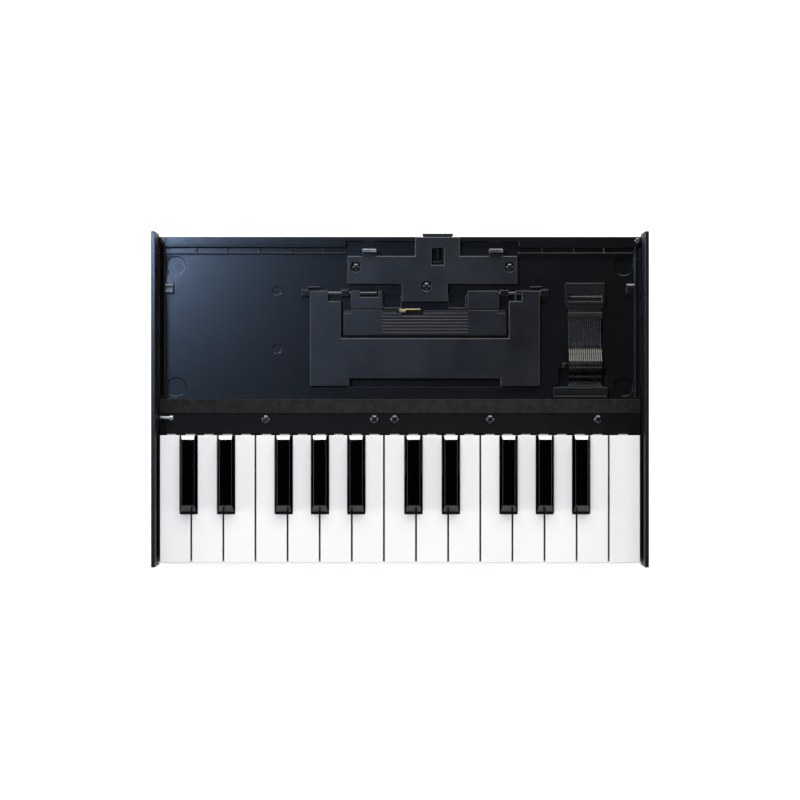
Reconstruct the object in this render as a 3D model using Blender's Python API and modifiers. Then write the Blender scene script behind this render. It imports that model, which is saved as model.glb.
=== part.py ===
"""Keyboard dock of a small synthesizer: slim keys in front, an open bay for a sound module behind.

Lengths are in millimetres until a helper builds a mesh, which is in metres.
X runs to the right, Y to the rear and Z up. The origin is at the bottom centre.
"""
import math

import bmesh
import bpy
from mathutils import Matrix, Vector

MM = 0.001
GAP = 0.3                       # clearance between pieces that touch

# Overall sizes
WIDTH = 308.0
DEPTH = 208.2
HEIGHT = 42.0
PANEL_THICKNESS = 2.5
PANEL_CORNER = 0.7
FOOT_HEIGHT = 3.0
COVER_THICKNESS = 2.0           # bottom cover
FLOOR_THICKNESS = 2.0           # module bay floor

# Levels, from the table up
COVER_BOTTOM = FOOT_HEIGHT
COVER_TOP = COVER_BOTTOM + COVER_THICKNESS
TRAY_BOTTOM = COVER_TOP + GAP
FLOOR_BOTTOM = COVER_TOP + 2.0
FLOOR_TOP = FLOOR_BOTTOM + FLOOR_THICKNESS
BOARD = (COVER_TOP + GAP, COVER_TOP + 1.6)
CHASSIS_BASE = (BOARD[1] + GAP, BOARD[1] + GAP + 1.5)
RAIL = (13.2, 14.6)             # shelf of the front and middle key rails
STOP_FELT = (RAIL[1] + GAP, RAIL[1] + GAP + 0.8)
LIFT_FELT = (RAIL[0] - GAP - 0.6, RAIL[0] - GAP)
LEDGE_TOP = 13.0                # rear ledge and side walls of the tray
STRIP = (11.6, 13.0)            # cover over the key tails
WHITE_TOP = 28.0
BLACK_TOP = 35.5

# Outline of the tray
PANEL_INNER = WIDTH / 2 - PANEL_THICKNESS
TRAY_HALF = PANEL_INNER - GAP
BAY_HALF = 147.3                # inner face of the side walls
SIDE_WALL = 1.7
TRAY_FRONT = -99.4
SILL_FRONT = -102.0             # low sill under the keys' front lips
SILL_TOP = 7.8
TRAY_REAR = 102.0
LEDGE_FRONT = 95.2
TROUGH = (92.1, LEDGE_FRONT)    # ribbed trough in front of the ledge
STEP_FRONT = -8.6               # front of the shelf under the rest felt
STRIP_FRONT = -21.8
FELT_FRONT = -8.9
FELT_REAR = 0.3
STRIP_HALF = 150.8
STRIP_PIN_Y = -11.5             # locating pin along the left end of the strip
STRIP_PIN_RADIUS = 1.1
STRIP_PIN_HEAD = (-144.6, -142.2)
STRIP_PIN_HEAD_RADIUS = 1.6
LATCH_BAY = (-34.2, 74.7, 99.2)     # left, right and rear of the latch recess
TROUGH_RIBS_LEFT = (-127.8, -108.3, -88.1, -68.2, -48.0)
TROUGH_RIBS_RIGHT = (89.3, 109.5, 128.6)
LEDGE_RIGHT_START = 75.4
FOOT_WELL = (140.6, 7.9, 83.8)      # half spacing in X, then front and rear Y
FOOT_WELL_RADIUS = 6.0
FOOT_WELL_DEPTH = 1.2
EJECTOR_MARKS = ((-77.3, 31.7), (-77.3, 68.3))
POCKETS = ((-10.7, 0.6), (30.5, 41.4))          # under the stand, left and right edges
POCKET_Y = (57.5, 65.8)
# Side bosses as (y, z), with a slope that faces the rear
SIDE_BOSS = ((66.6, 8.0), (66.6, 12.2), (70.7, 12.2), (72.6, 11.2), (72.6, 8.0))
SIDE_BOSS_INNER = 142.2
CORNER_POST = (148.9, 99.6)
CORNER_POST_RADIUS = 1.5
FINGER_RECESS = (7.9, 13.1)

# Keys
PITCH = 20.0
KEY_GAP = 1.1
KEY_FRONT = -102.0
KEY_REAR = -22.4
KEY_WALL = 1.4
CUT_FRONT = -71.6               # front edge of the cut-outs for the black keys
CUT_WIDTH = 11.3
BLACK_BASE = 9.9
BLACK_CROWN = 8.2
BLACK_FRONT = -70.0
PIVOT_Y = -18.0
PIVOT_Z = 8.6
PIVOT_RADIUS = 1.3
TAIL_HALF = 3.0
TAIL_REAR = -15.6
TAIL_TOP = 11.2
WHITE_SKIRT = 20.6              # lower edge of the white keys' side walls
BLACK_SKIRT = 18.8
LIP_BOTTOM = 13.5
PLUNGER_Y = (-45.0, -41.0)
PLUNGER_BOTTOM = 12.9
DOME_TOP = 11.0
WHITE_LEG_Y = (-92.0, -88.0)
BLACK_LEG_Y = (-62.0, -58.5)
LEG_BOTTOM = 10.9
WHITE_LEG_HALF = 2.5
BLACK_LEG_HALF = 2.0
# How far the black key above each white key stands from the line between two white keys
SHARP_OFFSET = {"C": -1.6, "D": 1.7, "F": -2.4, "G": 0.2, "A": 2.8}
SCALE = "CDEFGAB"
OCTAVES = 2
KEYBED_HALF = (OCTAVES * len(SCALE) + 1) * PITCH / 2

# Chassis under the keys
CHASSIS_Y = (-96.5, -9.4)
# Its webs stand under the lines where two white keys meet with no black key between
FRAME_WEBS = (-90.0, -10.0, 50.0)
CONTACT_Y = -43.0

# Screws of the tail cover
STRIP_SCREWS_X = (-84.3, -16.2, -3.5, 56.5, 124.2)
STRIP_SCREW_Y = -12.4
STRIP_SCREW_HEAD = 2.8

# Stand: a tilt frame with a smaller prop inside it, on one hinge line
STAND_X = 15.6
HINGE_Y = 66.7
HINGE_Z = 11.2
PIN_RADIUS = 1.1
BARREL_RADIUS = 1.9
FRAME_HALF = 72.1
FRAME_STEP = 60.7
FRAME_STEP_REAR = 61.7
FRAME_INNER = 52.6
FRAME_PLATE = (10.0, 13.2)
FRAME_REAR = 68.2
LOOP_REACH = 4.2
LOOP_WALL = 0.9
FRAME_CROSSBAR = (13.2, 38.4)
FRAME_FEET_FRONT = 8.4
FRAME_FEET_INNER = 47.7
KNUCKLE_OUTER = (72.4, 77.3)
KNUCKLE_INNER = (47.3, 52.4)
KNUCKLE_HALF = 2.5
KNUCKLE_TOP = 13.3
STOP_WALL = (69.6, 70.7)        # behind the arms, beside the outer knuckles
PROP_HALF = 50.8
PROP_PLATE = (10.0, 13.0)
PROP_Y = (40.2, 55.7)
PROP_END_STEP = (45.8, 53.9)    # the plate's rear corners are lower outside and behind this
TAB = (26.8, 46.6)
TAB_FRONT = 57.2
TAB_NOTCH = (-24.8, -13.6, 64.2)        # left, right, front
SPRING_NOTCHES = ((-1.5, 2.0, 53.9), (1.4, 14.8, 52.5))
GROOVE_PITCH = 2.0
GROOVE_WIDTH = 0.8
GROOVE_COUNT = 8

# Latch
LATCH_PLATE = (11.2, 14.0)
LATCH_BAR = (-32.9, 73.5, 72.4, 90.0)       # left, right, front, rear
LATCH_REAR_STEM = (9.4, 37.6, 101.8)        # left, right, rear
LATCH_FRONT_STEM = (1.1, 30.0, 61.3)        # left, right, front
LATCH_WINDOW = (19.9, 27.5, 84.4, 94.9)
LATCH_SCREWS = ((-27.8, 83.0), (68.7, 83.0), (16.6, 71.1))
SCREW_HOLE = 1.4
SLIDER = (FLOOR_TOP + GAP, 10.9)
HOOKS = ((-23.5, -14.9), (55.9, 64.4))
HOOK_Y = (92.2, 93.3)
HOOK_TIP = 0.8
HOOK_TOP = 17.2
BUTTON_X = (14.1, 33.3)
BUTTON_Y = (102.7, 104.1)
BUTTON_BOTTOM = 6.6
BUTTON_BAY = 100.5              # the tray's rear wall is cut back to here behind the button
SPRING_POST = (84.9, 86.5)
SPRING_SPAN = (86.8, 94.3)
SPRING_RADIUS = 2.0

# Ribbon lead
HEADER_X = (96.0, 130.4)
HEADER_Y = (0.6, 7.6)
OPENING = ((99.2, 129.2), 19.4)         # left and right, then rear
RIBBON_X = (105.7, 126.8)
RIBBON_THICKNESS = 0.9
# Where the lead runs, as (y, z): out of the header, over the edge of the opening, down to the plug
RIBBON_ROUTE = ((7.9, 8.6), (11.0, 7.9), (15.0, 9.4), (18.0, 12.6), (20.8, 15.2), (23.4, 15.3),
                (26.8, 13.5), (30.2, 11.5), (33.2, 10.5), (38.0, 10.2), (51.0, 10.3), (56.9, 10.6))
STRAP_Y = (50.6, 55.0)
STRAP_TOP = 12.6
GUIDE_POST = ((102.3, 105.1), (19.9, 22.7))
PLUG_X = (103.6, 128.4)
PLUG_Y = (57.2, 73.0)
PLUG_BODY_FRONT = 60.4
PLUG_SLOT = (61.2, 65.8)
PLUG_TOP = 14.0

# Screws of the side panels and of the bottom cover, and the feet
PANEL_SCREWS_Y = (-86.0, 8.0, 88.0)
PANEL_SCREW_Z = 9.4
COVER_SCREWS_X = (-142.0, 0.0, 142.0)
COVER_SCREWS_Y = (-70.0, 60.0)
FEET_X = 128.0
FEET_Y = (-88.0, 88.0)


# ---------------------------------------------------------------- helpers

def clear_scene():
    for item in list(bpy.data.objects):
        bpy.data.objects.remove(item, do_unlink=True)


def make_collection(name):
    collection = bpy.data.collections.new(name)
    bpy.context.scene.collection.children.link(collection)
    return collection


def new_object(name, data):
    item = bpy.data.objects.new(name, data)
    WORKSHOP.objects.link(item)
    return item


def discard(item):
    data = item.data
    bpy.data.objects.remove(item, do_unlink=True)
    if isinstance(data, bpy.types.Mesh) and data.users == 0:
        bpy.data.meshes.remove(data)


def tidy(shape):
    """Round the coordinates, so that faces meant to share a plane do, and merge flat neighbours."""
    for vertex in shape.verts:
        vertex.co = [round(value, 7) for value in vertex.co]
    bmesh.ops.remove_doubles(shape, verts=shape.verts, dist=0.000001)
    bmesh.ops.dissolve_limit(shape, angle_limit=math.radians(0.2), verts=shape.verts, edges=shape.edges)
    bmesh.ops.recalc_face_normals(shape, faces=shape.faces)


def from_bmesh(shape):
    tidy(shape)
    mesh = bpy.data.meshes.new("piece")
    shape.to_mesh(mesh)
    shape.free()
    return new_object("piece", mesh)


def facing(axis):
    """Turn that takes a shape built along Z onto the named axis."""
    rows = {"X": ((0, 0, 1), (1, 0, 0), (0, 1, 0)),
            "Y": ((0, 1, 0), (0, 0, 1), (1, 0, 0)),
            "Z": ((1, 0, 0), (0, 1, 0), (0, 0, 1))}
    return Matrix(rows[axis]).to_4x4()


def block(x, y, z):
    """Box between three (low, high) pairs."""
    shape = bmesh.new()
    bmesh.ops.create_cube(shape, size=1.0)
    low = Vector((x[0], y[0], z[0])) * MM
    high = Vector((x[1], y[1], z[1])) * MM
    bmesh.ops.scale(shape, vec=high - low, verts=shape.verts)
    bmesh.ops.translate(shape, vec=(low + high) / 2, verts=shape.verts)
    return from_bmesh(shape)


def rod(axis, centre, radius, span, sides=16, end_radius=None):
    """Cylinder or cone along an axis; centre holds its other two coordinates in XYZ order."""
    shape = bmesh.new()
    last = radius if end_radius is None else end_radius
    bmesh.ops.create_cone(shape, cap_ends=True, segments=sides, radius1=radius * MM,
                          radius2=last * MM, depth=(span[1] - span[0]) * MM)
    across = (centre[1], centre[0]) if axis == "Y" else centre
    middle = Vector((across[0], across[1], (span[0] + span[1]) / 2)) * MM
    bmesh.ops.translate(shape, vec=middle, verts=shape.verts)
    bmesh.ops.transform(shape, matrix=facing(axis), verts=shape.verts)
    return from_bmesh(shape)


def slab(points, span, axis="Z"):
    """Flat outline given a thickness: (x, y) points along Z, or (y, z) points along X."""
    curve = bpy.data.curves.new("outline", "CURVE")
    curve.dimensions = "2D"
    curve.fill_mode = "BOTH"
    curve.extrude = (span[1] - span[0]) / 2 * MM
    spline = curve.splines.new("POLY")
    spline.points.add(len(points) - 1)
    for target, (first, second) in zip(spline.points, points):
        target.co = (first * MM, second * MM, 0.0, 1.0)
    spline.use_cyclic_u = True
    outline = new_object("outline", curve)
    lift = Matrix.Translation((0, 0, (span[0] + span[1]) / 2 * MM))
    outline.matrix_world = facing(axis) @ lift
    return curve_to_mesh(outline)


def curve_to_mesh(outline):
    """Mesh with welded caps in place of a curve object."""
    bpy.context.view_layer.update()
    graph = bpy.context.evaluated_depsgraph_get()
    mesh = bpy.data.meshes.new_from_object(outline.evaluated_get(graph))
    shape = bmesh.new()
    shape.from_mesh(mesh)
    bmesh.ops.remove_doubles(shape, verts=shape.verts, dist=0.00001)
    bmesh.ops.transform(shape, matrix=outline.matrix_world, verts=shape.verts)
    bpy.data.meshes.remove(mesh)
    curve = outline.data
    bpy.data.objects.remove(outline, do_unlink=True)
    bpy.data.curves.remove(curve)
    return from_bmesh(shape)


def turned(profile, centre, sides=16):
    """Solid of revolution about Z: (radius, z) points from the top down, on the axis at both ends."""
    mesh = bpy.data.meshes.new("profile")
    points = [(radius * MM, 0.0, z * MM) for radius, z in profile]
    edges = [(index, index + 1) for index in range(len(points) - 1)]
    mesh.from_pydata(points, edges, [])
    item = new_object("profile", mesh)
    lathe = item.modifiers.new("lathe", "SCREW")
    lathe.axis = "Z"
    lathe.angle = math.tau
    lathe.steps = sides
    lathe.render_steps = sides
    lathe.use_merge_vertices = True
    lathe.merge_threshold = 0.00001
    bake(item)
    item.data.transform(Matrix.Translation((centre[0] * MM, centre[1] * MM, 0.0)))
    return item


def bake(item):
    """Replace an object's mesh by what its modifiers make of it."""
    bpy.context.view_layer.update()
    graph = bpy.context.evaluated_depsgraph_get()
    mesh = bpy.data.meshes.new_from_object(item.evaluated_get(graph))
    item.modifiers.clear()
    old = item.data
    item.data = mesh
    bpy.data.meshes.remove(old)


def combine(base, pieces, operation):
    for piece in pieces:
        step = base.modifiers.new(operation.lower(), "BOOLEAN")
        step.operation = operation
        step.solver = "EXACT"
        step.object = piece
    bake(base)
    shape = bmesh.new()
    shape.from_mesh(base.data)
    tidy(shape)
    shape.to_mesh(base.data)
    shape.free()
    for piece in pieces:
        discard(piece)
    return base


def join(base, *pieces):
    return combine(base, pieces, "UNION")


def cut(base, *pieces):
    return combine(base, pieces, "DIFFERENCE")


def batch(pieces):
    """Solids that don't meet, held in one mesh so that one Boolean takes them all."""
    shape = bmesh.new()
    for piece in pieces:
        shape.from_mesh(piece.data)
        discard(piece)
    return from_bmesh(shape)


def rounded_box(x, y, radius, steps=4):
    """Outline of a rectangle with round corners, as (x, y) points."""
    corners = ((x[1] - radius, y[0] + radius, -90), (x[1] - radius, y[1] - radius, 0),
               (x[0] + radius, y[1] - radius, 90), (x[0] + radius, y[0] + radius, 180))
    points = []
    for centre_x, centre_y, start in corners:
        for step in range(steps + 1):
            turn = math.radians(start + 90 * step / steps)
            points.append((centre_x + radius * math.cos(turn), centre_y + radius * math.sin(turn)))
    return points


def display_colour(red, green, blue):
    """Linear colour of a display colour from 0 to 255."""
    return tuple((level / 255.0) ** 2.2 for level in (red, green, blue)) + (1.0,)


def finish(name, colour, roughness, metallic=0.0):
    surface = bpy.data.materials.new(name)
    surface.use_nodes = True
    shader = surface.node_tree.nodes["Principled BSDF"]
    shader.inputs["Base Color"].default_value = display_colour(*colour)
    shader.inputs["Roughness"].default_value = roughness
    shader.inputs["Metallic"].default_value = metallic
    surface.diffuse_color = display_colour(*colour)
    return surface


def keep(item, name, surface, origin=None):
    """Name a finished piece, give it its material and put its origin in place."""
    item.name = name
    item.data.name = name
    item.data.materials.clear()
    item.data.materials.append(surface)
    item.data.shade_smooth()
    item.data.set_sharp_from_angle(angle=math.radians(30))
    if origin is not None:
        point = Vector(origin) * MM
        item.data.transform(Matrix.Translation(-point))
        item.location = point
    WORKSHOP.objects.unlink(item)
    PARTS.objects.link(item)
    return item


# ---------------------------------------------------------------- case

def make_side_panel(name, side, surface):
    """Steel cheek plate with three counterbored screw holes."""
    outline = rounded_box((-DEPTH / 2, DEPTH / 2), (COVER_BOTTOM, HEIGHT), PANEL_CORNER, steps=2)
    low, high = sorted((side * PANEL_INNER, side * WIDTH / 2))
    plate = slab(outline, (low, high), axis="X")
    bores = []
    face = side * WIDTH / 2
    for y in PANEL_SCREWS_Y:
        span = sorted((face - side * 1.3, face + side))
        bores.append(rod("X", (y, PANEL_SCREW_Z), 3.1, span))
    cut(plate, batch(bores))
    return keep(plate, name, surface)


def make_tray(surface):
    """Main moulding: bay floor, walls, rear ledge, felt shelf and hinge knuckles."""
    tray = block((-TRAY_HALF, TRAY_HALF), (STEP_FRONT, TRAY_REAR), (FLOOR_BOTTOM, FLOOR_TOP))
    for side in (-1, 1):
        span = sorted((side * BAY_HALF, side * TRAY_HALF))
        join(tray, block(span, (TRAY_FRONT, TRAY_REAR), (TRAY_BOTTOM, LEDGE_TOP)))
    across = (-TRAY_HALF, TRAY_HALF)
    join(tray, block(across, (TRAY_FRONT, TRAY_FRONT + 1.8), (TRAY_BOTTOM, 15.0)))
    join(tray, block(across, (SILL_FRONT, TRAY_FRONT + 1.0), (TRAY_BOTTOM, SILL_TOP)))
    join(tray, block(across, (LEDGE_FRONT, TRAY_REAR), (TRAY_BOTTOM, LEDGE_TOP)))
    join(tray, block(across, (-1.5, 0.0), (FLOOR_TOP - 0.5, 12.3)))
    join(tray, block(across, (STEP_FRONT, 0.0), (10.8, 12.3)))
    # the tail cover and the felt run out over the lowered side walls
    notches = []
    for side in (-1, 1):
        span = sorted((side * (BAY_HALF - 0.5), side * (TRAY_HALF + 1)))
        notches.append(block(span, (STRIP_FRONT - 0.7, STEP_FRONT), (STRIP[0] - GAP, 20.0)))
        notches.append(block(span, (STEP_FRONT - 0.1, FELT_REAR + GAP), (12.3, 20.0)))
    cut(tray, *notches)
    # outside the side walls only a low flange remains
    flanges = []
    for side in (-1, 1):
        span = sorted((side * (BAY_HALF + SIDE_WALL), side * (TRAY_HALF + 1)))
        flanges.append(block(span, (FELT_REAR + GAP + 1.0, LEDGE_FRONT), (FLOOR_TOP - 0.5, 20.0)))
    cut(tray, batch(flanges))
    add_trough(tray)
    add_latch_seat(tray)
    add_hinge_knuckles(tray)
    add_floor_details(tray)
    return keep(tray, "tray", surface)


def add_trough(tray):
    """Low wall and cross ribs in front of the rear ledge, left and right of the latch."""
    left = (-BAY_HALF + 0.5, LATCH_BAY[0])
    right = (LEDGE_RIGHT_START, BAY_HALF - 0.5)
    for span, ribs in ((left, TROUGH_RIBS_LEFT), (right, TROUGH_RIBS_RIGHT)):
        wall = block((span[0] - 1, span[1]), (TROUGH[0] - 0.8, TROUGH[0]), (FLOOR_TOP - 1, 12.0))
        join(tray, wall)
        bars = []
        for x in ribs:
            bars.append(block((x - 0.4, x + 0.4), (TROUGH[0] - 0.4, TROUGH[1] + 1), (FLOOR_TOP - 1, 11.4)))
        join(tray, batch(bars))


def add_latch_seat(tray):
    """Recess in the ledge for the latch, with its button notch, bosses, guides and spring post."""
    left, right, rear = LATCH_BAY
    button = (BUTTON_X[0] - 0.4, BUTTON_X[1] + 0.4)
    recess = block((left, right), (LEDGE_FRONT - 1, rear), (FLOOR_TOP, 20.0))
    notch = block(button, (rear - 1, TRAY_REAR + 1), (FLOOR_TOP, 20.0))
    bay = block(button, (BUTTON_BAY, TRAY_REAR + 1), (BUTTON_BOTTOM - GAP, 20.0))
    saddle = block((LATCH_REAR_STEM[0] - GAP, LATCH_REAR_STEM[1] + GAP), (rear - 1, TRAY_REAR + 1),
                   (LATCH_PLATE[0] - GAP, 20.0))
    cut(tray, recess)
    cut(tray, notch)
    cut(tray, bay)
    cut(tray, saddle)
    bosses = [rod("Z", point, 3.1, (FLOOR_TOP - 1, LATCH_PLATE[0] - GAP), sides=14)
              for point in LATCH_SCREWS]
    guides = [block((x, x + 1.2), (92.5, 97.5), (FLOOR_TOP - 1, LATCH_PLATE[0] - GAP))
              for x in (BUTTON_X[0] - 1.6, BUTTON_X[1] + 0.4)]
    middle = (LATCH_WINDOW[0] + LATCH_WINDOW[1]) / 2
    post = block((middle - 2.6, middle + 2.6), SPRING_POST, (FLOOR_TOP - 1, 13.3))
    join(tray, batch(bosses + guides + [post]))
    cut(tray, batch([rod("Z", point, SCREW_HOLE, (FLOOR_TOP + 0.2, 20.0), sides=12)
                     for point in LATCH_SCREWS]))


def knuckle(span):
    """Ear on the bay floor for a hinge pin, with chamfered shoulders."""
    shoulder = KNUCKLE_TOP - 0.9
    front = HINGE_Y - KNUCKLE_HALF
    rear = HINGE_Y + KNUCKLE_HALF
    profile = ((front, FLOOR_TOP - 0.8), (front, shoulder), (front + 0.8, KNUCKLE_TOP),
               (rear - 0.8, KNUCKLE_TOP), (rear, shoulder), (rear, FLOOR_TOP - 0.8))
    return slab(profile, span, axis="X")


def add_hinge_knuckles(tray):
    ears = []
    bores = []
    for side in (-1, 1):
        for near, far in (KNUCKLE_INNER, KNUCKLE_OUTER):
            span = sorted((STAND_X + side * near, STAND_X + side * far))
            ears.append(knuckle(span))
            bores.append(rod("X", (HINGE_Y, HINGE_Z), PIN_RADIUS + GAP, (span[0] - 1, span[1] + 1), sides=12))
        wall = sorted((STAND_X + side * (FRAME_HALF - 6.0), STAND_X + side * (KNUCKLE_OUTER[0] + 1)))
        ears.append(block(wall, STOP_WALL, (FLOOR_TOP - 0.8, 12.3)))
    join(tray, batch(ears))
    cut(tray, batch(bores))


def add_floor_details(tray):
    """Wells for the module's feet, wall bosses, pockets, the finger recess and the lead's opening."""
    finger = (STAND_X - FRAME_FEET_INNER, STAND_X + FRAME_FEET_INNER)
    front, rear = FINGER_RECESS
    cup = block((finger[0] - 1.2, finger[1] + 1.2), (front - 1.3, rear + 1.3), (TRAY_BOTTOM, FLOOR_TOP - 0.5))
    join(tray, cup)
    raised = [block(*GUIDE_POST, (FLOOR_TOP - 1, 12.0))]
    for side in (-1, 1):
        span = sorted((side * SIDE_BOSS_INNER, side * (BAY_HALF + 1)))
        raised.append(slab(SIDE_BOSS, span, axis="X"))
        raised.append(rod("Z", (side * CORNER_POST[0], CORNER_POST[1]), CORNER_POST_RADIUS,
                          (LEDGE_TOP - 1, LEDGE_TOP + 1.0), sides=14))
    join(tray, batch(raised))
    wells = [rod("Z", (side * FOOT_WELL[0], y), FOOT_WELL_RADIUS,
                 (FLOOR_TOP - FOOT_WELL_DEPTH, FLOOR_TOP + 1), sides=24)
             for side in (-1, 1) for y in FOOT_WELL[1:]]
    marks = [rod("Z", point, 3.0, (FLOOR_TOP - 0.25, FLOOR_TOP + 1)) for point in EJECTOR_MARKS]
    pockets = [block(x, POCKET_Y, (FLOOR_TOP - 1.3, FLOOR_TOP + 1)) for x in POCKETS]
    recess = block(finger, FINGER_RECESS, (TRAY_BOTTOM + 0.8, FLOOR_TOP + 1))
    through = (FLOOR_BOTTOM - 1, FLOOR_TOP + 1)
    opening = slab(rounded_box(OPENING[0], (0.0, OPENING[1]), 1.5, steps=3), through)
    header_room = block((HEADER_X[0] - 0.5, HEADER_X[1] + 0.5), (0.0, HEADER_Y[1] + 1.0), through)
    cut(tray, batch(wells + marks + pockets + [recess]))
    cut(tray, opening)
    cut(tray, header_room)


def make_bottom_cover(surface):
    """Flat plate under the whole dock, with screw pockets and a shallow blank label recess."""
    outline = rounded_box((-TRAY_HALF, TRAY_HALF), (SILL_FRONT, TRAY_REAR), 2.0, steps=3)
    cover = slab(outline, (COVER_BOTTOM, COVER_TOP))
    pockets = [rod("Z", (x, y), 3.2, (COVER_BOTTOM - 1, COVER_BOTTOM + 1.1), sides=14)
               for x in COVER_SCREWS_X for y in COVER_SCREWS_Y]
    label = slab(rounded_box((-30.0, 30.0), (-20.0, 14.0), 2.0, steps=3),
                 (COVER_BOTTOM - 1, COVER_BOTTOM + 0.3))
    cut(cover, batch(pockets + [label]))
    return keep(cover, "bottom_cover", surface)


def make_feet(surface):
    number = 0
    for y in FEET_Y:
        for x in (-FEET_X, FEET_X):
            number += 1
            top = COVER_BOTTOM - GAP
            profile = ((0.0, top), (7.0, top), (7.0, 0.7), (6.3, 0.0), (0.0, 0.0))
            keep(turned(profile, (x, y), sides=20), f"foot_{number}", surface)


# ---------------------------------------------------------------- keybed

def white_span(letter, inset=0.0, whole=False):
    """Left and right edges of a white key's narrow rear part, from the key's middle."""
    previous = SCALE[SCALE.index(letter) - 1]
    left = -(PITCH - KEY_GAP) / 2
    right = -left
    if not whole and previous in SHARP_OFFSET:
        left = -PITCH / 2 + SHARP_OFFSET[previous] + CUT_WIDTH / 2
    if not whole and letter in SHARP_OFFSET:
        right = PITCH / 2 + SHARP_OFFSET[letter] - CUT_WIDTH / 2
    return left + inset, right - inset


def white_outline(letter, inset, whole):
    """Plan of a white key, drawn inwards by the inset."""
    half = (PITCH - KEY_GAP) / 2 - inset
    front = KEY_FRONT + inset
    rear = KEY_REAR - inset
    shoulder = CUT_FRONT - inset
    left, right = white_span(letter, inset, whole)
    points = [(-half, front), (half, front)]
    if right < half:
        points += [(half, shoulder), (right, shoulder)]
    points += [(right, rear), (left, rear)]
    if left > -half:
        points += [(left, shoulder), (-half, shoulder)]
    return points


def add_tail(key, x, top):
    """Arm behind the key that drops to the pivot ridge and ends under the tail cover."""
    profile = ((-26.0, top), (KEY_REAR, top), (KEY_REAR, TAIL_TOP), (TAIL_REAR, TAIL_TOP),
               (TAIL_REAR, 8.9), (-21.5, 8.9), (-23.4, 9.5), (-24.6, 11.5), (-26.0, 17.0))
    join(key, slab(profile, (x - TAIL_HALF, x + TAIL_HALF), axis="X"))
    cut(key, rod("X", (PIVOT_Y, PIVOT_Z), PIVOT_RADIUS + GAP, (x - TAIL_HALF - 1, x + TAIL_HALF + 1)))


def add_leg(key, x, half, leg_y, top):
    """Guide leg that runs in a rail slot, with a toe that stops the key under the rail."""
    join(key, block((x - half, x + half), leg_y, (LEG_BOTTOM, top)))
    join(key, block((x - half, x + half), (leg_y[1] - 1, leg_y[1] + 1.9), (LEG_BOTTOM, LEG_BOTTOM + 1.1)))


def white_key_mesh(letter, whole):
    """Hollow moulding with a front lip, a guide leg, a plunger and a tail."""
    key = slab(white_outline(letter, 0.0, whole), (WHITE_SKIRT, WHITE_TOP))
    cut(key, slab(white_outline(letter, KEY_WALL, whole), (WHITE_SKIRT - 1, WHITE_TOP - 1.6)))
    half = (PITCH - KEY_GAP) / 2
    join(key, block((-half, half), (KEY_FRONT, KEY_FRONT + KEY_WALL), (LIP_BOTTOM, WHITE_TOP - 1)))
    middle = sum(white_span(letter, 0.0, whole)) / 2
    add_leg(key, 0.0, WHITE_LEG_HALF, WHITE_LEG_Y, WHITE_TOP - 1)
    join(key, block((middle - 2, middle + 2), PLUNGER_Y, (PLUNGER_BOTTOM, WHITE_TOP - 1)))
    add_tail(key, middle, WHITE_TOP - 1)
    return key


def black_key_mesh():
    """Hollow moulding whose sides lean in above the white keys, with a sloping front."""
    profile = ((BLACK_FRONT, BLACK_SKIRT), (KEY_REAR, BLACK_SKIRT), (KEY_REAR, BLACK_TOP - 2.6),
               (-24.7, BLACK_TOP), (-65.8, BLACK_TOP), (BLACK_FRONT + 0.3, WHITE_TOP + 1.2),
               (BLACK_FRONT, WHITE_TOP))
    key = slab(profile, (-BLACK_BASE / 2, BLACK_BASE / 2), axis="X")
    lean_in(key.data)
    cut(key, block((-2.8, 2.8), (BLACK_FRONT + 5.5, KEY_REAR - KEY_WALL), (BLACK_SKIRT - 1, BLACK_TOP - 1.8)))
    add_leg(key, 0.0, BLACK_LEG_HALF, BLACK_LEG_Y, BLACK_TOP - 1)
    join(key, block((-2, 2), PLUNGER_Y, (PLUNGER_BOTTOM, BLACK_TOP - 1)))
    add_tail(key, 0.0, BLACK_TOP - 4)
    return key


def lean_in(mesh):
    """Narrow a black key evenly from the level of the white keys to its crown."""
    start = WHITE_TOP * MM
    rise = (BLACK_TOP - WHITE_TOP) * MM
    shape = bmesh.new()
    shape.from_mesh(mesh)
    everything = shape.verts[:] + shape.edges[:] + shape.faces[:]
    bmesh.ops.bisect_plane(shape, geom=everything, plane_co=(0, 0, start), plane_no=(0, 0, 1))
    for vertex in shape.verts:
        share = max(0.0, vertex.co.z - start) / rise
        vertex.co.x *= 1 - share * (1 - BLACK_CROWN / BLACK_BASE)
    shape.to_mesh(mesh)
    shape.free()


def key_layout():
    """White keys as (letter, x, whole) and the x of each black key, from left to right."""
    whites = []
    blacks = []
    for octave in range(OCTAVES):
        for place, letter in enumerate(SCALE):
            line = (octave * len(SCALE) + place + 1) * PITCH - KEYBED_HALF
            whites.append((letter, line - PITCH / 2, False))
            if letter in SHARP_OFFSET:
                blacks.append(line + SHARP_OFFSET[letter])
    whites.append(("C", KEYBED_HALF - PITCH / 2, True))
    return whites, blacks


def copy_key(master, name, x):
    key = master.copy()
    key.name = name
    key.location.x = x * MM
    PARTS.objects.link(key)


def make_keys(ivory, ebony):
    """One mesh for each key shape, shared by the keys that have it, turning about the pivot line."""
    whites, blacks = key_layout()
    axis = (0.0, PIVOT_Y, PIVOT_Z)
    masters = {}
    for number, (letter, x, whole) in enumerate(whites, start=1):
        name = f"white_key_{number:02d}"
        if (letter, whole) in masters:
            copy_key(masters[letter, whole], name, x)
            continue
        key = keep(white_key_mesh(letter, whole), name, ivory, origin=axis)
        key.location.x = x * MM
        masters[letter, whole] = key
    for number, x in enumerate(blacks, start=1):
        name = f"black_key_{number:02d}"
        if number == 1:
            master = keep(black_key_mesh(), name, ebony, origin=axis)
            master.location.x = x * MM
        else:
            copy_key(master, name, x)


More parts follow.
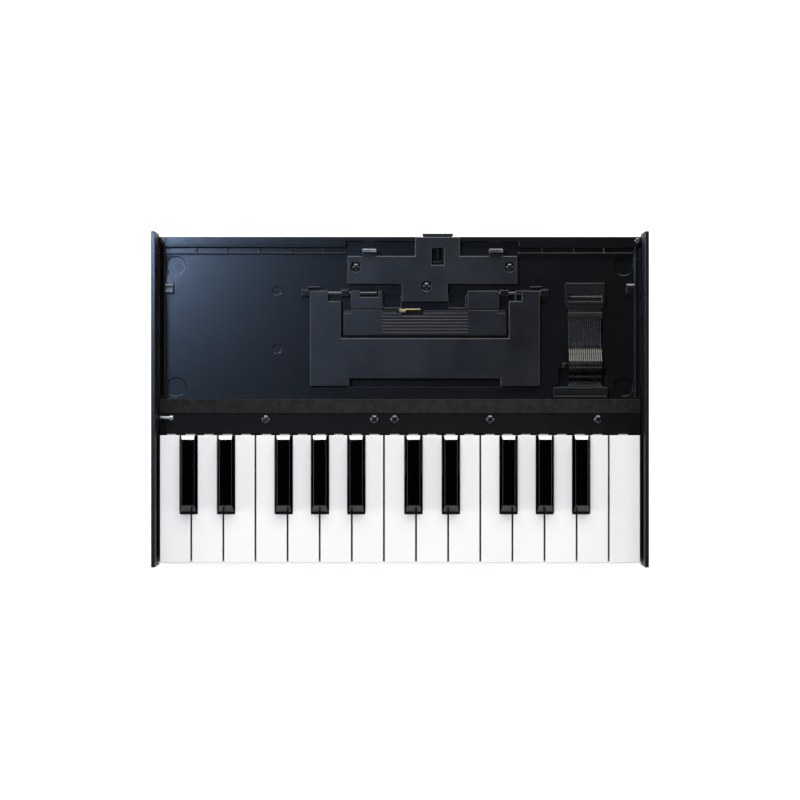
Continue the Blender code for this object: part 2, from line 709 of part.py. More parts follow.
def contact_places():
    """X of the plunger of every key."""
    whites, blacks = key_layout()
    places = [x + sum(white_span(letter, 0.0, whole)) / 2 for letter, x, whole in whites]
    return sorted(places + list(blacks))


def make_key_frame(surface):
    """Chassis: open base, pivot ridge, two slotted rails, webs and screw bosses."""
    whites, blacks = key_layout()
    half = BAY_HALF - GAP
    inner = half - 1.0
    base = CHASSIS_BASE
    frame = block((-half, half), CHASSIS_Y, (base[0], RAIL[1]))
    # between the rails and behind them only the base remains
    rooms = [block((-inner, inner), (-84.0, -67.0), (base[1], 20.0)),
             block((-half - 1, half + 1), (-53.0, -5.0), (base[1], 20.0)),
             block((-inner, inner), (-95.0, -84.0), (base[0] - 1, RAIL[0])),
             block((-inner, inner), (-67.0, -53.0), (base[1], RAIL[0])),
             block((-inner, inner), (-64.5, -54.5), (base[0] - 1, base[1] + 1)),
             block((-inner, inner), (-48.6, -37.4), (base[0] - 1, base[1] + 1))]
    for room in rooms:
        cut(frame, room)
    slots = []
    for places, leg_half, leg_y in (([x for letter, x, whole in whites], WHITE_LEG_HALF, WHITE_LEG_Y),
                                    (blacks, BLACK_LEG_HALF, BLACK_LEG_Y)):
        slots += [block((x - leg_half - 0.4, x + leg_half + 0.4), (leg_y[0] - 0.9, leg_y[1] + 0.4),
                        (RAIL[0] - 1, 20.0)) for x in places]
    cut(frame, batch(slots))
    webs = [block((x - 0.75, x + 0.75), (-84.5, -30.0), (base[1] - 0.3, 12.0)) for x in FRAME_WEBS]
    join(frame, batch(webs))
    for side in (-1, 1):
        wall = sorted((side * inner, side * half))
        join(frame, block(wall, (-54.0, -30.0), (base[0], 12.0)))
    join(frame, block((-half, half), (PIVOT_Y - 1.0, PIVOT_Y + 1.0), (base[1] - 0.3, PIVOT_Z)))
    join(frame, rod("X", (PIVOT_Y, PIVOT_Z), PIVOT_RADIUS, (-half, half), sides=12))
    bosses = [rod("Z", (x, STRIP_SCREW_Y), 2.6, (base[1] - 0.3, STRIP[0] - GAP), sides=12)
              for x in STRIP_SCREWS_X]
    join(frame, batch(bosses))
    cut(frame, batch([rod("Z", (x, STRIP_SCREW_Y), SCREW_HOLE, (base[0] - 1, 20.0), sides=10)
                      for x in STRIP_SCREWS_X]))
    return keep(frame, "key_frame", surface)


def make_tail_cover(surface):
    """Strip over the key tails, with screw holes and a locating pin at its left end."""
    cover = block((-STRIP_HALF, STRIP_HALF), (STRIP_FRONT, FELT_FRONT - GAP), STRIP)
    pin_axis = (STRIP_PIN_Y, STRIP[1] + 0.3)
    join(cover, rod("X", pin_axis, STRIP_PIN_RADIUS, (-STRIP_HALF, STRIP_PIN_HEAD[1] - 1), sides=12),
         rod("X", pin_axis, STRIP_PIN_HEAD_RADIUS, STRIP_PIN_HEAD, sides=16))
    holes = [rod("Z", (x, STRIP_SCREW_Y), SCREW_HOLE, (STRIP[0] - 1, 20.0), sides=12)
             for x in STRIP_SCREWS_X]
    cut(cover, batch(holes))
    return keep(cover, "key_tail_cover", surface)


def make_felts(rest, stops):
    """Rest strip of the module, and the strips that stop the keys."""
    profile = ((FELT_FRONT, 12.6), (FELT_REAR, 12.6), (FELT_REAR, 12.9), (FELT_REAR - 0.7, 13.4),
               (FELT_FRONT + 0.5, 13.7), (FELT_FRONT, 13.4))
    keep(slab(profile, (-STRIP_HALF, STRIP_HALF), axis="X"), "rest_felt", rest)
    half = BAY_HALF - GAP - 1.3
    keep(block((-half, half), (-96.2, -93.3), STOP_FELT), "front_stop_felt", stops)
    keep(block((-half, half), (-66.5, -63.6), STOP_FELT), "rear_stop_felt", stops)
    keep(block((-half, half), (-87.3, -84.3), LIFT_FELT), "lift_stop_felt", stops)


def make_contacts(rubber, board_surface):
    """Circuit board with a tongue towards the header, and the rubber strip with a dome for each key."""
    half = BAY_HALF - GAP - 1.3
    strip = block((-half, half), (CONTACT_Y - 5.3, CONTACT_Y + 5.3), (BOARD[1] + GAP, BOARD[1] + GAP + 0.8))
    domes = [rod("Z", (x, CONTACT_Y), 2.6, (BOARD[1] + GAP + 0.4, DOME_TOP), sides=8, end_radius=1.8)
             for x in contact_places()]
    join(strip, batch(domes))
    keep(strip, "contact_strip", rubber)
    board = block((-half, half), (-62.0, -28.0), BOARD)
    join(board, block((HEADER_X[0] + 0.5, HEADER_X[1] - 0.5), (-29.0, HEADER_Y[1] + 0.4), BOARD))
    keep(board, "contact_board", board_surface)


def screw(name, point, head_radius, head, tip, surface):
    """Pan-head screw with a domed head."""
    low, high = head
    profile = ((0.0, high), (head_radius * 0.6, high), (head_radius * 0.9, high - 0.3),
               (head_radius, low + 0.3), (head_radius, low), (1.05, low), (1.05, tip), (0.0, tip))
    keep(turned(profile, point, sides=12), name, surface)


def make_screws(surface):
    for number, x in enumerate(STRIP_SCREWS_X, start=1):
        head = (STRIP[1] + GAP, STRIP[1] + GAP + 1.1)
        screw(f"strip_screw_{number}", (x, STRIP_SCREW_Y), STRIP_SCREW_HEAD, head, 9.0, surface)
    for number, point in enumerate(LATCH_SCREWS, start=1):
        head = (LATCH_PLATE[0] + 1.5, LATCH_PLATE[1] - 0.2)
        screw(f"cover_screw_{number}", point, 2.6, head, FLOOR_TOP + 0.6, surface)


# ---------------------------------------------------------------- stand

def mirrored(points):
    """Close a right-hand outline with its mirror image about the stand's middle."""
    right = [(STAND_X + x, y) for x, y in points]
    left = [(STAND_X - x, y) for x, y in reversed(points)]
    return right + left


def make_tilt_frame(surface):
    """U-shaped stand with stepped arms and two feet, hinged at the ends of its arms."""
    outline = mirrored(((0.0, FRAME_CROSSBAR[0]), (FRAME_FEET_INNER, FRAME_CROSSBAR[0]),
                        (FRAME_FEET_INNER, FRAME_FEET_FRONT), (FRAME_HALF, FRAME_FEET_FRONT),
                        (FRAME_HALF, FRAME_REAR), (FRAME_STEP, FRAME_REAR), (FRAME_STEP, FRAME_STEP_REAR),
                        (FRAME_INNER, FRAME_STEP_REAR), (FRAME_INNER, FRAME_CROSSBAR[1]),
                        (0.0, FRAME_CROSSBAR[1])))
    frame = slab(outline, FRAME_PLATE)
    arms = [sorted((STAND_X + side * FRAME_STEP, STAND_X + side * FRAME_HALF)) for side in (-1, 1)]
    join(frame, batch([rod("X", (HINGE_Y, HINGE_Z), BARREL_RADIUS, arm) for arm in arms]))
    # thin loop in the corner of the right arm
    left = STAND_X + FRAME_STEP - LOOP_REACH
    join(frame, block((left, left + LOOP_WALL), (FRAME_STEP_REAR - 1, FRAME_REAR), FRAME_PLATE),
         block((left, arms[1][0] + 1), (FRAME_REAR - LOOP_WALL, FRAME_REAR), FRAME_PLATE))
    cut(frame, batch([rod("X", (HINGE_Y, HINGE_Z), PIN_RADIUS + GAP, (arm[0] - LOOP_REACH - 1, arm[1] + 1),
                          sides=12) for arm in arms]))
    return keep(frame, "tilt_frame", surface, origin=(STAND_X, HINGE_Y, HINGE_Z))


def make_tilt_prop(surface):
    """Inner prop: a ridged plate on two hinge tabs, with a notch for its spring."""
    span = (STAND_X - PROP_HALF, STAND_X + PROP_HALF)
    low, high = PROP_PLATE
    prop = block(span, PROP_Y, PROP_PLATE)
    tabs = [sorted((STAND_X + side * TAB[0], STAND_X + side * TAB[1])) for side in (-1, 1)]
    for tab in tabs:
        join(prop, block(tab, (PROP_Y[1] - 1, TAB_FRONT + 1), (low, high - 1.1)))
        join(prop, block(tab, (TAB_FRONT, FRAME_REAR), PROP_PLATE))
        join(prop, rod("X", (HINGE_Y, HINGE_Z), BARREL_RADIUS - 0.2, tab))
        cut(prop, rod("X", (HINGE_Y, HINGE_Z), PIN_RADIUS + GAP, (tab[0] - 1, tab[1] + 1), sides=12))
    left, right, front = TAB_NOTCH
    cut(prop, block((left, right), (front, 72.0), (5.0, 20.0)))
    for left, right, front in SPRING_NOTCHES:
        cut(prop, block((left, right), (front, PROP_Y[1] + 0.5), (5.0, 20.0)))
    for side in (-1, 1):
        corner = sorted((STAND_X + side * PROP_END_STEP[0], STAND_X + side * (PROP_HALF + 1)))
        cut(prop, block(corner, (PROP_END_STEP[1], PROP_Y[1] + 0.5), (high - 1.0, 20.0)))
    ridges = (STAND_X - TAB[0], STAND_X + TAB[0])
    # the first groove is open to the front
    starts = [PROP_Y[0] - 0.1 + GROOVE_PITCH * step for step in range(GROOVE_COUNT)]
    cut(prop, batch([block(ridges, (y, y + GROOVE_WIDTH), (high - 0.4, 20.0)) for y in starts]))
    return keep(prop, "tilt_prop", surface, origin=(STAND_X, HINGE_Y, HINGE_Z))


def make_hinge_pins(surface):
    ends = (("hinge_pin_left", (STAND_X - KNUCKLE_OUTER[1] + 0.2, TAB_NOTCH[1] - 0.8)),
            ("hinge_pin_right", (STAND_X + TAB[0] + 0.4, STAND_X + KNUCKLE_OUTER[1] - 0.2)))
    for name, span in ends:
        keep(rod("X", (HINGE_Y, HINGE_Z), PIN_RADIUS, span, sides=12), name, surface)


def make_prop_spring(surface):
    """Torsion spring in the prop's notch: a short coil and a straight leg."""
    coil = rod("X", (55.7, 11.9), 1.6, (-1.1, 3.6), sides=12)
    join(coil, rod("X", (56.6, 12.9), 0.35, (2.5, 12.9), sides=8))
    return keep(coil, "prop_spring", surface, origin=(STAND_X, HINGE_Y, HINGE_Z))


# ---------------------------------------------------------------- latch

def make_latch_cover(surface):
    """Cross-shaped plate that holds the slider down, with a skirt, a window and three screw seats."""
    left, right, front, rear = LATCH_BAR
    stem_left, stem_right, stem_rear = LATCH_REAR_STEM
    foot_left, foot_right, foot_front = LATCH_FRONT_STEM
    level = (FLOOR_TOP + GAP, LATCH_PLATE[1])
    cover = block((left, right), (front, rear), level)
    join(cover, block((stem_left, stem_right), (rear - 1, stem_rear), level))
    join(cover, block((foot_left, foot_right), (foot_front, front + 1), level))
    under = (0.0, LATCH_PLATE[0])
    wall = 1.2
    rooms = (block((left + wall, right - wall), (front + wall, rear + 1), under),
             block((stem_left + wall, stem_right - wall), (rear - 1, stem_rear + 1), under),
             block((foot_left + wall, foot_right - wall), (foot_front + wall, front + 2), under),
             block((stem_left - 1, stem_right + 1), (LATCH_BAY[2] - GAP, stem_rear + 1), under))
    for room in rooms:
        cut(cover, room)
    x0, x1, y0, y1 = LATCH_WINDOW
    cut(cover, block((x0, x1), (y0, y1), (5.0, 20.0)))
    seats = [rod("Z", point, 3.0, (LATCH_PLATE[0] + 1.2, 20.0), sides=16) for point in LATCH_SCREWS]
    holes = [rod("Z", point, SCREW_HOLE, (5.0, 20.0), sides=12) for point in LATCH_SCREWS]
    cut(cover, batch(seats))
    cut(cover, batch(holes))
    return keep(cover, "latch_cover", surface)


def make_latch_slider(surface):
    """Sliding plate under the cover: a crossbar with two hooks, and a stem with the release button."""
    slider = block((HOOKS[0][0] - 0.6, HOOKS[1][1] + 0.6), (81.5, 88.8), SLIDER)
    join(slider, block((BUTTON_X[0] + 0.4, BUTTON_X[1] - 0.4), (81.5, BUTTON_Y[1] - 0.4), SLIDER))
    for hook in HOOKS:
        join(slider, block(hook, (88.0, HOOK_Y[1]), SLIDER))
        join(slider, block(hook, HOOK_Y, (SLIDER[0], HOOK_TOP)))
        join(slider, block(hook, (HOOK_Y[0], HOOK_Y[1] + HOOK_TIP), (HOOK_TOP - 1.2, HOOK_TOP)))
    join(slider, block(BUTTON_X, BUTTON_Y, (BUTTON_BOTTOM, SLIDER[1])))
    x0, x1, y0, y1 = LATCH_WINDOW
    cut(slider, block((x0 + 0.3, x1 - 0.3), (SPRING_POST[0] - GAP, SPRING_SPAN[1] + GAP), (5.0, 20.0)))
    return keep(slider, "latch_slider", surface)


def make_latch_spring(surface):
    """Envelope of the compression spring that pushes the slider back."""
    middle = (LATCH_WINDOW[0] + LATCH_WINDOW[1]) / 2
    level = FLOOR_TOP + GAP + SPRING_RADIUS
    spring = rod("Y", (middle, level), SPRING_RADIUS, SPRING_SPAN)
    cut(spring, rod("Y", (middle, level), SPRING_RADIUS - 0.6,
                    (SPRING_SPAN[0] - 1, SPRING_SPAN[1] + 1)))
    return keep(spring, "latch_spring", surface, origin=(middle, SPRING_SPAN[0], level))


# ---------------------------------------------------------------- ribbon lead

def smooth_route(points, steps):
    """Points of a smooth curve through the route."""
    result = []
    for index in range(len(points) - 1):
        before = points[max(index - 1, 0)]
        start = points[index]
        end = points[index + 1]
        after = points[min(index + 2, len(points) - 1)]
        for step in range(steps):
            share = step / steps
            result.append(tuple(catmull(before[k], start[k], end[k], after[k], share) for k in (0, 1)))
    result.append(points[-1])
    return result


def catmull(before, start, end, after, share):
    """Catmull-Rom blend between start and end."""
    return 0.5 * (2 * start + (end - before) * share
                  + (2 * before - 5 * start + 4 * end - after) * share ** 2
                  + (3 * start - before - 3 * end + after) * share ** 3)


def make_ribbon(surface):
    """Flat lead of constant thickness along its route, with a tape band before the plug."""
    centre = smooth_route(RIBBON_ROUTE, 3)
    upper = []
    lower = []
    for index, (y, z) in enumerate(centre):
        ahead = centre[min(index + 1, len(centre) - 1)]
        behind = centre[max(index - 1, 0)]
        run = Vector((ahead[0] - behind[0], ahead[1] - behind[1])).normalized()
        across = Vector((-run.y, run.x)) * RIBBON_THICKNESS / 2
        upper.append((y + across.x, z + across.y))
        lower.append((y - across.x, z - across.y))
    lead = slab(lower + upper[::-1], RIBBON_X, axis="X")
    front, rear = STRAP_Y
    profile = ((front, FLOOR_TOP + GAP), (rear, FLOOR_TOP + GAP), (rear, STRAP_TOP - 1.2),
               (rear - 0.8, STRAP_TOP - 0.7), (front + 0.6, STRAP_TOP), (front, STRAP_TOP - 0.6))
    join(lead, slab(profile, (RIBBON_X[0] - GAP, RIBBON_X[1] + GAP), axis="X"))
    return keep(lead, "ribbon_cable", surface)


def make_header(surface):
    """Board header that stands up through the opening beside the felt."""
    header = block(HEADER_X, HEADER_Y, (BOARD[1] + GAP, 12.4))
    slot = (HEADER_Y[0] + 1.6, HEADER_Y[0] + 2.6)
    cut(header, block((HEADER_X[0] + 1.5, HEADER_X[1] - 1.5), slot, (11.6, 20.0)))
    return keep(header, "board_header", surface)


def make_plug(surface):
    """Plug of the lead: a housing with an open contact slot and a strain-relief step."""
    plug = block(PLUG_X, (PLUG_BODY_FRONT, PLUG_Y[1]), (FLOOR_TOP + GAP, PLUG_TOP))
    join(plug, block((PLUG_X[0] + 0.6, PLUG_X[1] - 0.6), (PLUG_Y[0], PLUG_BODY_FRONT + 1),
                     (FLOOR_TOP + GAP, PLUG_TOP - 1.0)))
    cut(plug, block((PLUG_X[0] + 2.0, PLUG_X[1] - 2.0), PLUG_SLOT, (PLUG_TOP - 2.0, 20.0)))
    return keep(plug, "ribbon_plug", surface)


# ---------------------------------------------------------------- assembly

clear_scene()
PARTS = make_collection("synthesizer")
WORKSHOP = make_collection("workshop")

CASE_BLACK = finish("case_black", (38, 40, 50), 0.42)
STAND_GREY = finish("stand_grey", (40, 44, 54), 0.45)
PANEL_STEEL = finish("panel_steel", (30, 31, 40), 0.35, 0.6)
KEY_WHITE = finish("key_white", (246, 246, 247), 0.22)
KEY_BLACK = finish("key_black", (12, 12, 15), 0.16)
FELT_GREY = finish("felt_grey", (48, 48, 50), 0.95)
STRIP_BLACK = finish("strip_black", (24, 22, 23), 0.6)
CHASSIS_GREY = finish("chassis_grey", (60, 60, 64), 0.6)
STOP_RED = finish("stop_felt", (110, 30, 34), 0.95)
RUBBER_GREY = finish("contact_rubber", (120, 122, 126), 0.7)
BOARD_GREEN = finish("board_green", (24, 70, 40), 0.45)
BLACK_STEEL = finish("black_steel", (52, 52, 56), 0.35, 0.9)
BRIGHT_STEEL = finish("bright_steel", (186, 188, 190), 0.25, 1.0)
BRASS = finish("spring_brass", (190, 160, 96), 0.3, 1.0)
RIBBON_GREY = finish("ribbon_grey", (70, 72, 76), 0.4)
CONNECTOR_BLACK = finish("connector_black", (40, 42, 46), 0.5)
FOOT_RUBBER = finish("foot_rubber", (20, 20, 20), 0.9)

make_side_panel("left_side_panel", -1, PANEL_STEEL)
make_side_panel("right_side_panel", 1, PANEL_STEEL)
make_tray(CASE_BLACK)
make_bottom_cover(CASE_BLACK)
make_feet(FOOT_RUBBER)
make_key_frame(CHASSIS_GREY)
make_keys(KEY_WHITE, KEY_BLACK)
make_tail_cover(STRIP_BLACK)
make_felts(FELT_GREY, STOP_RED)
make_contacts(RUBBER_GREY, BOARD_GREEN)
make_screws(BLACK_STEEL)
make_tilt_frame(STAND_GREY)
make_tilt_prop(STAND_GREY)
make_hinge_pins(BLACK_STEEL)
make_prop_spring(BRASS)
make_latch_cover(STAND_GREY)
make_latch_slider(STAND_GREY)
make_latch_spring(BRIGHT_STEEL)
make_ribbon(RIBBON_GREY)
make_header(CONNECTOR_BLACK)
make_plug(CONNECTOR_BLACK)
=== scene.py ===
"""Looks of the synthesizer keyboard dock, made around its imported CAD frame.

Lengths are in millimetres until a helper builds a mesh, as in the CAD source; the studio's are in metres.
"""
import math

import bmesh
import bpy
from mathutils import Matrix, Vector


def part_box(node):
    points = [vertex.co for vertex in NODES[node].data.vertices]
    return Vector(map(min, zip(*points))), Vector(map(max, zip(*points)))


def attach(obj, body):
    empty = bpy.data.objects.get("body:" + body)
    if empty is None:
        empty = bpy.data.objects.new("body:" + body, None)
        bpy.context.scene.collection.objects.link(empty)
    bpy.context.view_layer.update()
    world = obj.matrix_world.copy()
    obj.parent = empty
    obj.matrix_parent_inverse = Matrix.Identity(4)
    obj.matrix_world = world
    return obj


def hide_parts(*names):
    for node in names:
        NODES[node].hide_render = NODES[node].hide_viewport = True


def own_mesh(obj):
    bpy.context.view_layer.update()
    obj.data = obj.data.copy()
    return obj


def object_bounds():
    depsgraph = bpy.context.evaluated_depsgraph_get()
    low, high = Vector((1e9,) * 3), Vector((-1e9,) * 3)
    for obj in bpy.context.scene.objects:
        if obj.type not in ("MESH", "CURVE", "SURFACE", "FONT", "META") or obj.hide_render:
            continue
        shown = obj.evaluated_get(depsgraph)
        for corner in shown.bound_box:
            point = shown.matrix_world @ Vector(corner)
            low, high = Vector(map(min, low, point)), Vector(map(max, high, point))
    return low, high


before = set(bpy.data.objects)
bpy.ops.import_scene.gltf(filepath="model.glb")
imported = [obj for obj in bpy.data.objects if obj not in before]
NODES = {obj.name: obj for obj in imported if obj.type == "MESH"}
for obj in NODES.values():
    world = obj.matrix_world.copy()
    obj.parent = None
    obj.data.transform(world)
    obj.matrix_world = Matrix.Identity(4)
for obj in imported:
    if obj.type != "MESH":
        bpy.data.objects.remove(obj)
CAD_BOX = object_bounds()
MM = 0.001
BASE = "base"


# ---------------------------------------------------------------- camera and studio

CAMERA_HEIGHT = 2.05            # above the panels' top edges
CAMERA_FORWARD = 0.0004         # in front of the middle
CAMERA_LENS = 149.22
CAMERA_SENSOR = 36.0
CAMERA_REACH = 60.0
PANEL_TOP = CAD_BOX[1].z
FLOOR_SIZE = 40.0               # wide enough that low views don't show its edge
SURROUND = 0.02                 # strength of the dim light from all round
WARM = (1.0, 0.965, 0.90)
# Each light's place, size, power in watts and colour
SOFTBOXES = {
    "box_rear": ((0.15, 2.2, 1.5), (2.6, 1.2), 77.0, WARM),
    "box_left": ((-2.1, 0.1, 1.0), (1.2, 0.9), 20.0, WARM),
    "box_right": ((2.1, 0.0, 1.0), (1.2, 0.9), 14.0, WARM),
    "box_front": ((0.1, -2.1, 1.0), (1.6, 0.8), 10.0, WARM),
    "box_blue": ((-0.30, 0.20, 0.86), (0.09, 0.09), 1.9, (0.42, 0.62, 1.0)),
}


def make_camera():
    data = bpy.data.cameras.new("camera")
    data.lens = CAMERA_LENS
    data.sensor_width = CAMERA_SENSOR
    data.clip_end = CAMERA_REACH
    camera = bpy.data.objects.new("camera", data)
    camera.location = (0.0, -CAMERA_FORWARD, PANEL_TOP + CAMERA_HEIGHT)
    bpy.context.scene.collection.objects.link(camera)
    bpy.context.scene.camera = camera


def add_softbox(name, location, size, power, colour):
    """Rectangular light that faces the object."""
    data = bpy.data.lights.new(name, "AREA")
    data.shape = "RECTANGLE"
    data.size, data.size_y = size
    data.energy = power
    data.color = colour
    light = bpy.data.objects.new(name, data)
    light.location = location
    light.rotation_euler = (-Vector(location)).to_track_quat("-Z", "Y").to_euler()
    bpy.context.scene.collection.objects.link(light)


def make_studio():
    """White floor, a dim surround, a strong box behind and weaker ones, so that level faces stay dark."""
    scene = bpy.context.scene
    scene.view_settings.view_transform = "Standard"
    scene.view_settings.look = "None"
    world = bpy.data.worlds.new("surround")
    world.use_nodes = True
    surround = world.node_tree.nodes["Background"]
    surround.inputs["Color"].default_value = (1.0, 1.0, 1.0, 1.0)
    surround.inputs["Strength"].default_value = SURROUND
    scene.world = world
    for name, (location, size, power, colour) in SOFTBOXES.items():
        add_softbox(name, location, size, power, colour)
    floor = add_floor(FLOOR_SIZE)
    floor.data.materials.append(floor_surface())


def add_floor(size):
    """Square at table height."""
    half = size / 2
    mesh = bpy.data.meshes.new("floor")
    mesh.from_pydata([(-half, -half, 0.0), (half, -half, 0.0), (half, half, 0.0), (-half, half, 0.0)],
                     [], [(0, 1, 2, 3)])
    floor = bpy.data.objects.new("floor", mesh)
    bpy.context.scene.collection.objects.link(floor)
    return floor


# ---------------------------------------------------------------- mesh helpers

WELD = 0.00001                  # metres between corners that become one
WIRE_WELD = 0.000005
FLAT = math.radians(0.5)        # faces that meet flatter than this become one
SHARP = math.radians(35)        # edges of a node sharper than this are rounded
SHARP_EXTRA = math.radians(40)  # and of a piece that the CAD doesn't have
CROWDED = 8                     # corners above which a face is split before it is rounded
ROUNDING_STEPS = 3
FACE_LED = 100                  # weight that lets the largest face at a corner decide its shading
EVEN = 50


def add_shape(name, shape):
    mesh = bpy.data.meshes.new(name)
    bmesh.ops.recalc_face_normals(shape, faces=shape.faces)
    shape.to_mesh(mesh)
    shape.free()
    item = bpy.data.objects.new(name, mesh)
    bpy.context.scene.collection.objects.link(item)
    return item


def smooth(item, angle=35.0, weight=EVEN):
    """Smooth shading split at edges sharper than the angle; a high weight keeps large faces flat."""
    item.data.shade_smooth()
    item.data.set_sharp_from_angle(angle=math.radians(angle))
    weigh = item.modifiers.new("weigh", "WEIGHTED_NORMAL")
    weigh.keep_sharp = True
    weigh.weight = weight


def place(item, body, surface, slot, *nodes):
    """Give a piece its material and its body, and hide the CAD nodes that it stands for; the slot is not
    used.
    """
    if not item.data.materials:
        item.data.materials.append(surface)
    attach(item, body)
    if nodes:
        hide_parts(*nodes)
    return item


def bevel_weights(shape, rule):
    """Weight every sharp edge by the width in millimetres that the rule gives for its middle."""
    layer = shape.edges.layers.float.new("bevel_weight_edge")
    widest = 0.0
    widths = {}
    for edge in shape.edges:
        if len(edge.link_faces) == 2 and edge.calc_face_angle(0.0) > SHARP:
            middle = (edge.verts[0].co + edge.verts[1].co) / 2
            widths[edge] = rule(middle / MM, edge)
            widest = max(widest, widths[edge])
    for edge, width in widths.items():
        edge[layer] = width / widest
    return widest


def refined(node, body, surface, slot, rule, segments=ROUNDING_STEPS, accent=None, accented=None):
    """A node's own shape, its sharp edges rounded by the rule; accented faces get a second material."""
    shape = bmesh.new()
    shape.from_mesh(NODES[node].data)
    bmesh.ops.remove_doubles(shape, verts=shape.verts, dist=WELD)
    bmesh.ops.dissolve_limit(shape, angle_limit=FLAT, verts=shape.verts, edges=shape.edges)
    if accent:
        for face in shape.faces:
            face.material_index = int(accented(face.calc_center_median() / MM))
    # faces with many corners, often round holes, would fold over when their edges are rounded
    crowded = [face for face in shape.faces if len(face.verts) > CROWDED]
    bmesh.ops.triangulate(shape, faces=crowded)
    widest = bevel_weights(shape, rule)
    piece = add_shape(node + "_skin", shape)
    bevel = piece.modifiers.new("round", "BEVEL")
    bevel.limit_method = "WEIGHT"
    bevel.width = widest * MM
    bevel.segments = segments
    bevel.use_clamp_overlap = False
    bevel.miter_outer = "MITER_SHARP"
    piece.data.materials.append(surface)
    if accent:
        piece.data.materials.append(accent)
    smooth(piece, weight=FACE_LED)
    return place(piece, body, surface, slot, node)


def constant(width):
    """Rule that gives every sharp edge the same width."""
    return lambda middle, edge: width


def lathe(name, profile, centre, sides):
    """Solid of revolution about Z from (radius, z) points, top to bottom."""
    shape = bmesh.new()
    rings = []
    for radius, z in profile:
        if radius == 0.0:
            rings.append([shape.verts.new((centre[0] * MM, centre[1] * MM, z * MM))])
            continue
        ring = []
        for step in range(sides):
            turn = math.tau * step / sides
            ring.append(shape.verts.new(((centre[0] + radius * math.cos(turn)) * MM,
                                         (centre[1] + radius * math.sin(turn)) * MM, z * MM)))
        rings.append(ring)
    for upper, lower in zip(rings, rings[1:]):
        for step in range(sides):
            after = (step + 1) % sides
            if len(upper) == 1:
                shape.faces.new((upper[0], lower[step], lower[after]))
            elif len(lower) == 1:
                shape.faces.new((upper[step], lower[0], upper[after]))
            else:
                shape.faces.new((upper[step], lower[step], lower[after], upper[after]))
    return add_shape(name, shape)


def mesh_boxes(name, boxes):
    """One mesh of boxes, each given by its spans along X, Y and Z."""
    shape = bmesh.new()
    for x, y, z in boxes:
        made = bmesh.ops.create_cube(shape, size=1.0)["verts"]
        low = Vector((x[0], y[0], z[0])) * MM
        high = Vector((x[1], y[1], z[1])) * MM
        bmesh.ops.scale(shape, vec=high - low, verts=made)
        bmesh.ops.translate(shape, vec=(low + high) / 2, verts=made)
    return add_shape(name, shape)


def extruded(name, profile, x):
    """Solid with the same (y, z) outline from one x to the other."""
    shape = bmesh.new()
    ends = [[shape.verts.new((side * MM, y * MM, z * MM)) for y, z in profile] for side in x]
    for start in range(len(profile)):
        after = (start + 1) % len(profile)
        shape.faces.new((ends[0][start], ends[0][after], ends[1][after], ends[1][start]))
    shape.faces.new(ends[0])
    shape.faces.new(ends[1])
    return add_shape(name, shape)


def rounded(item, width, segments=ROUNDING_STEPS):
    """Round all the sharp edges of a piece."""
    bevel = item.modifiers.new("round", "BEVEL")
    bevel.width = width * MM
    bevel.segments = segments
    bevel.limit_method = "ANGLE"
    bevel.angle_limit = SHARP_EXTRA
    smooth(item)


def carve(item, cutters):
    """Cut shapes out of a piece and remove them."""
    for cutter in cutters:
        step = item.modifiers.new("carve", "BOOLEAN")
        step.operation = "DIFFERENCE"
        step.object = cutter
    bpy.context.view_layer.update()
    graph = bpy.context.evaluated_depsgraph_get()
    mesh = bpy.data.meshes.new_from_object(item.evaluated_get(graph))
    item.modifiers.clear()
    item.data = mesh
    for cutter in cutters:
        bpy.data.objects.remove(cutter, do_unlink=True)


# ---------------------------------------------------------------- materials

def display_colour(red, green, blue):
    """Linear colour of a display colour from 0 to 255."""
    return tuple((level / 255.0) ** 2.2 for level in (red, green, blue)) + (1.0,)


WEAR_LEAN = (0.97, 0.70)        # cosines of the lean where wear starts and is complete


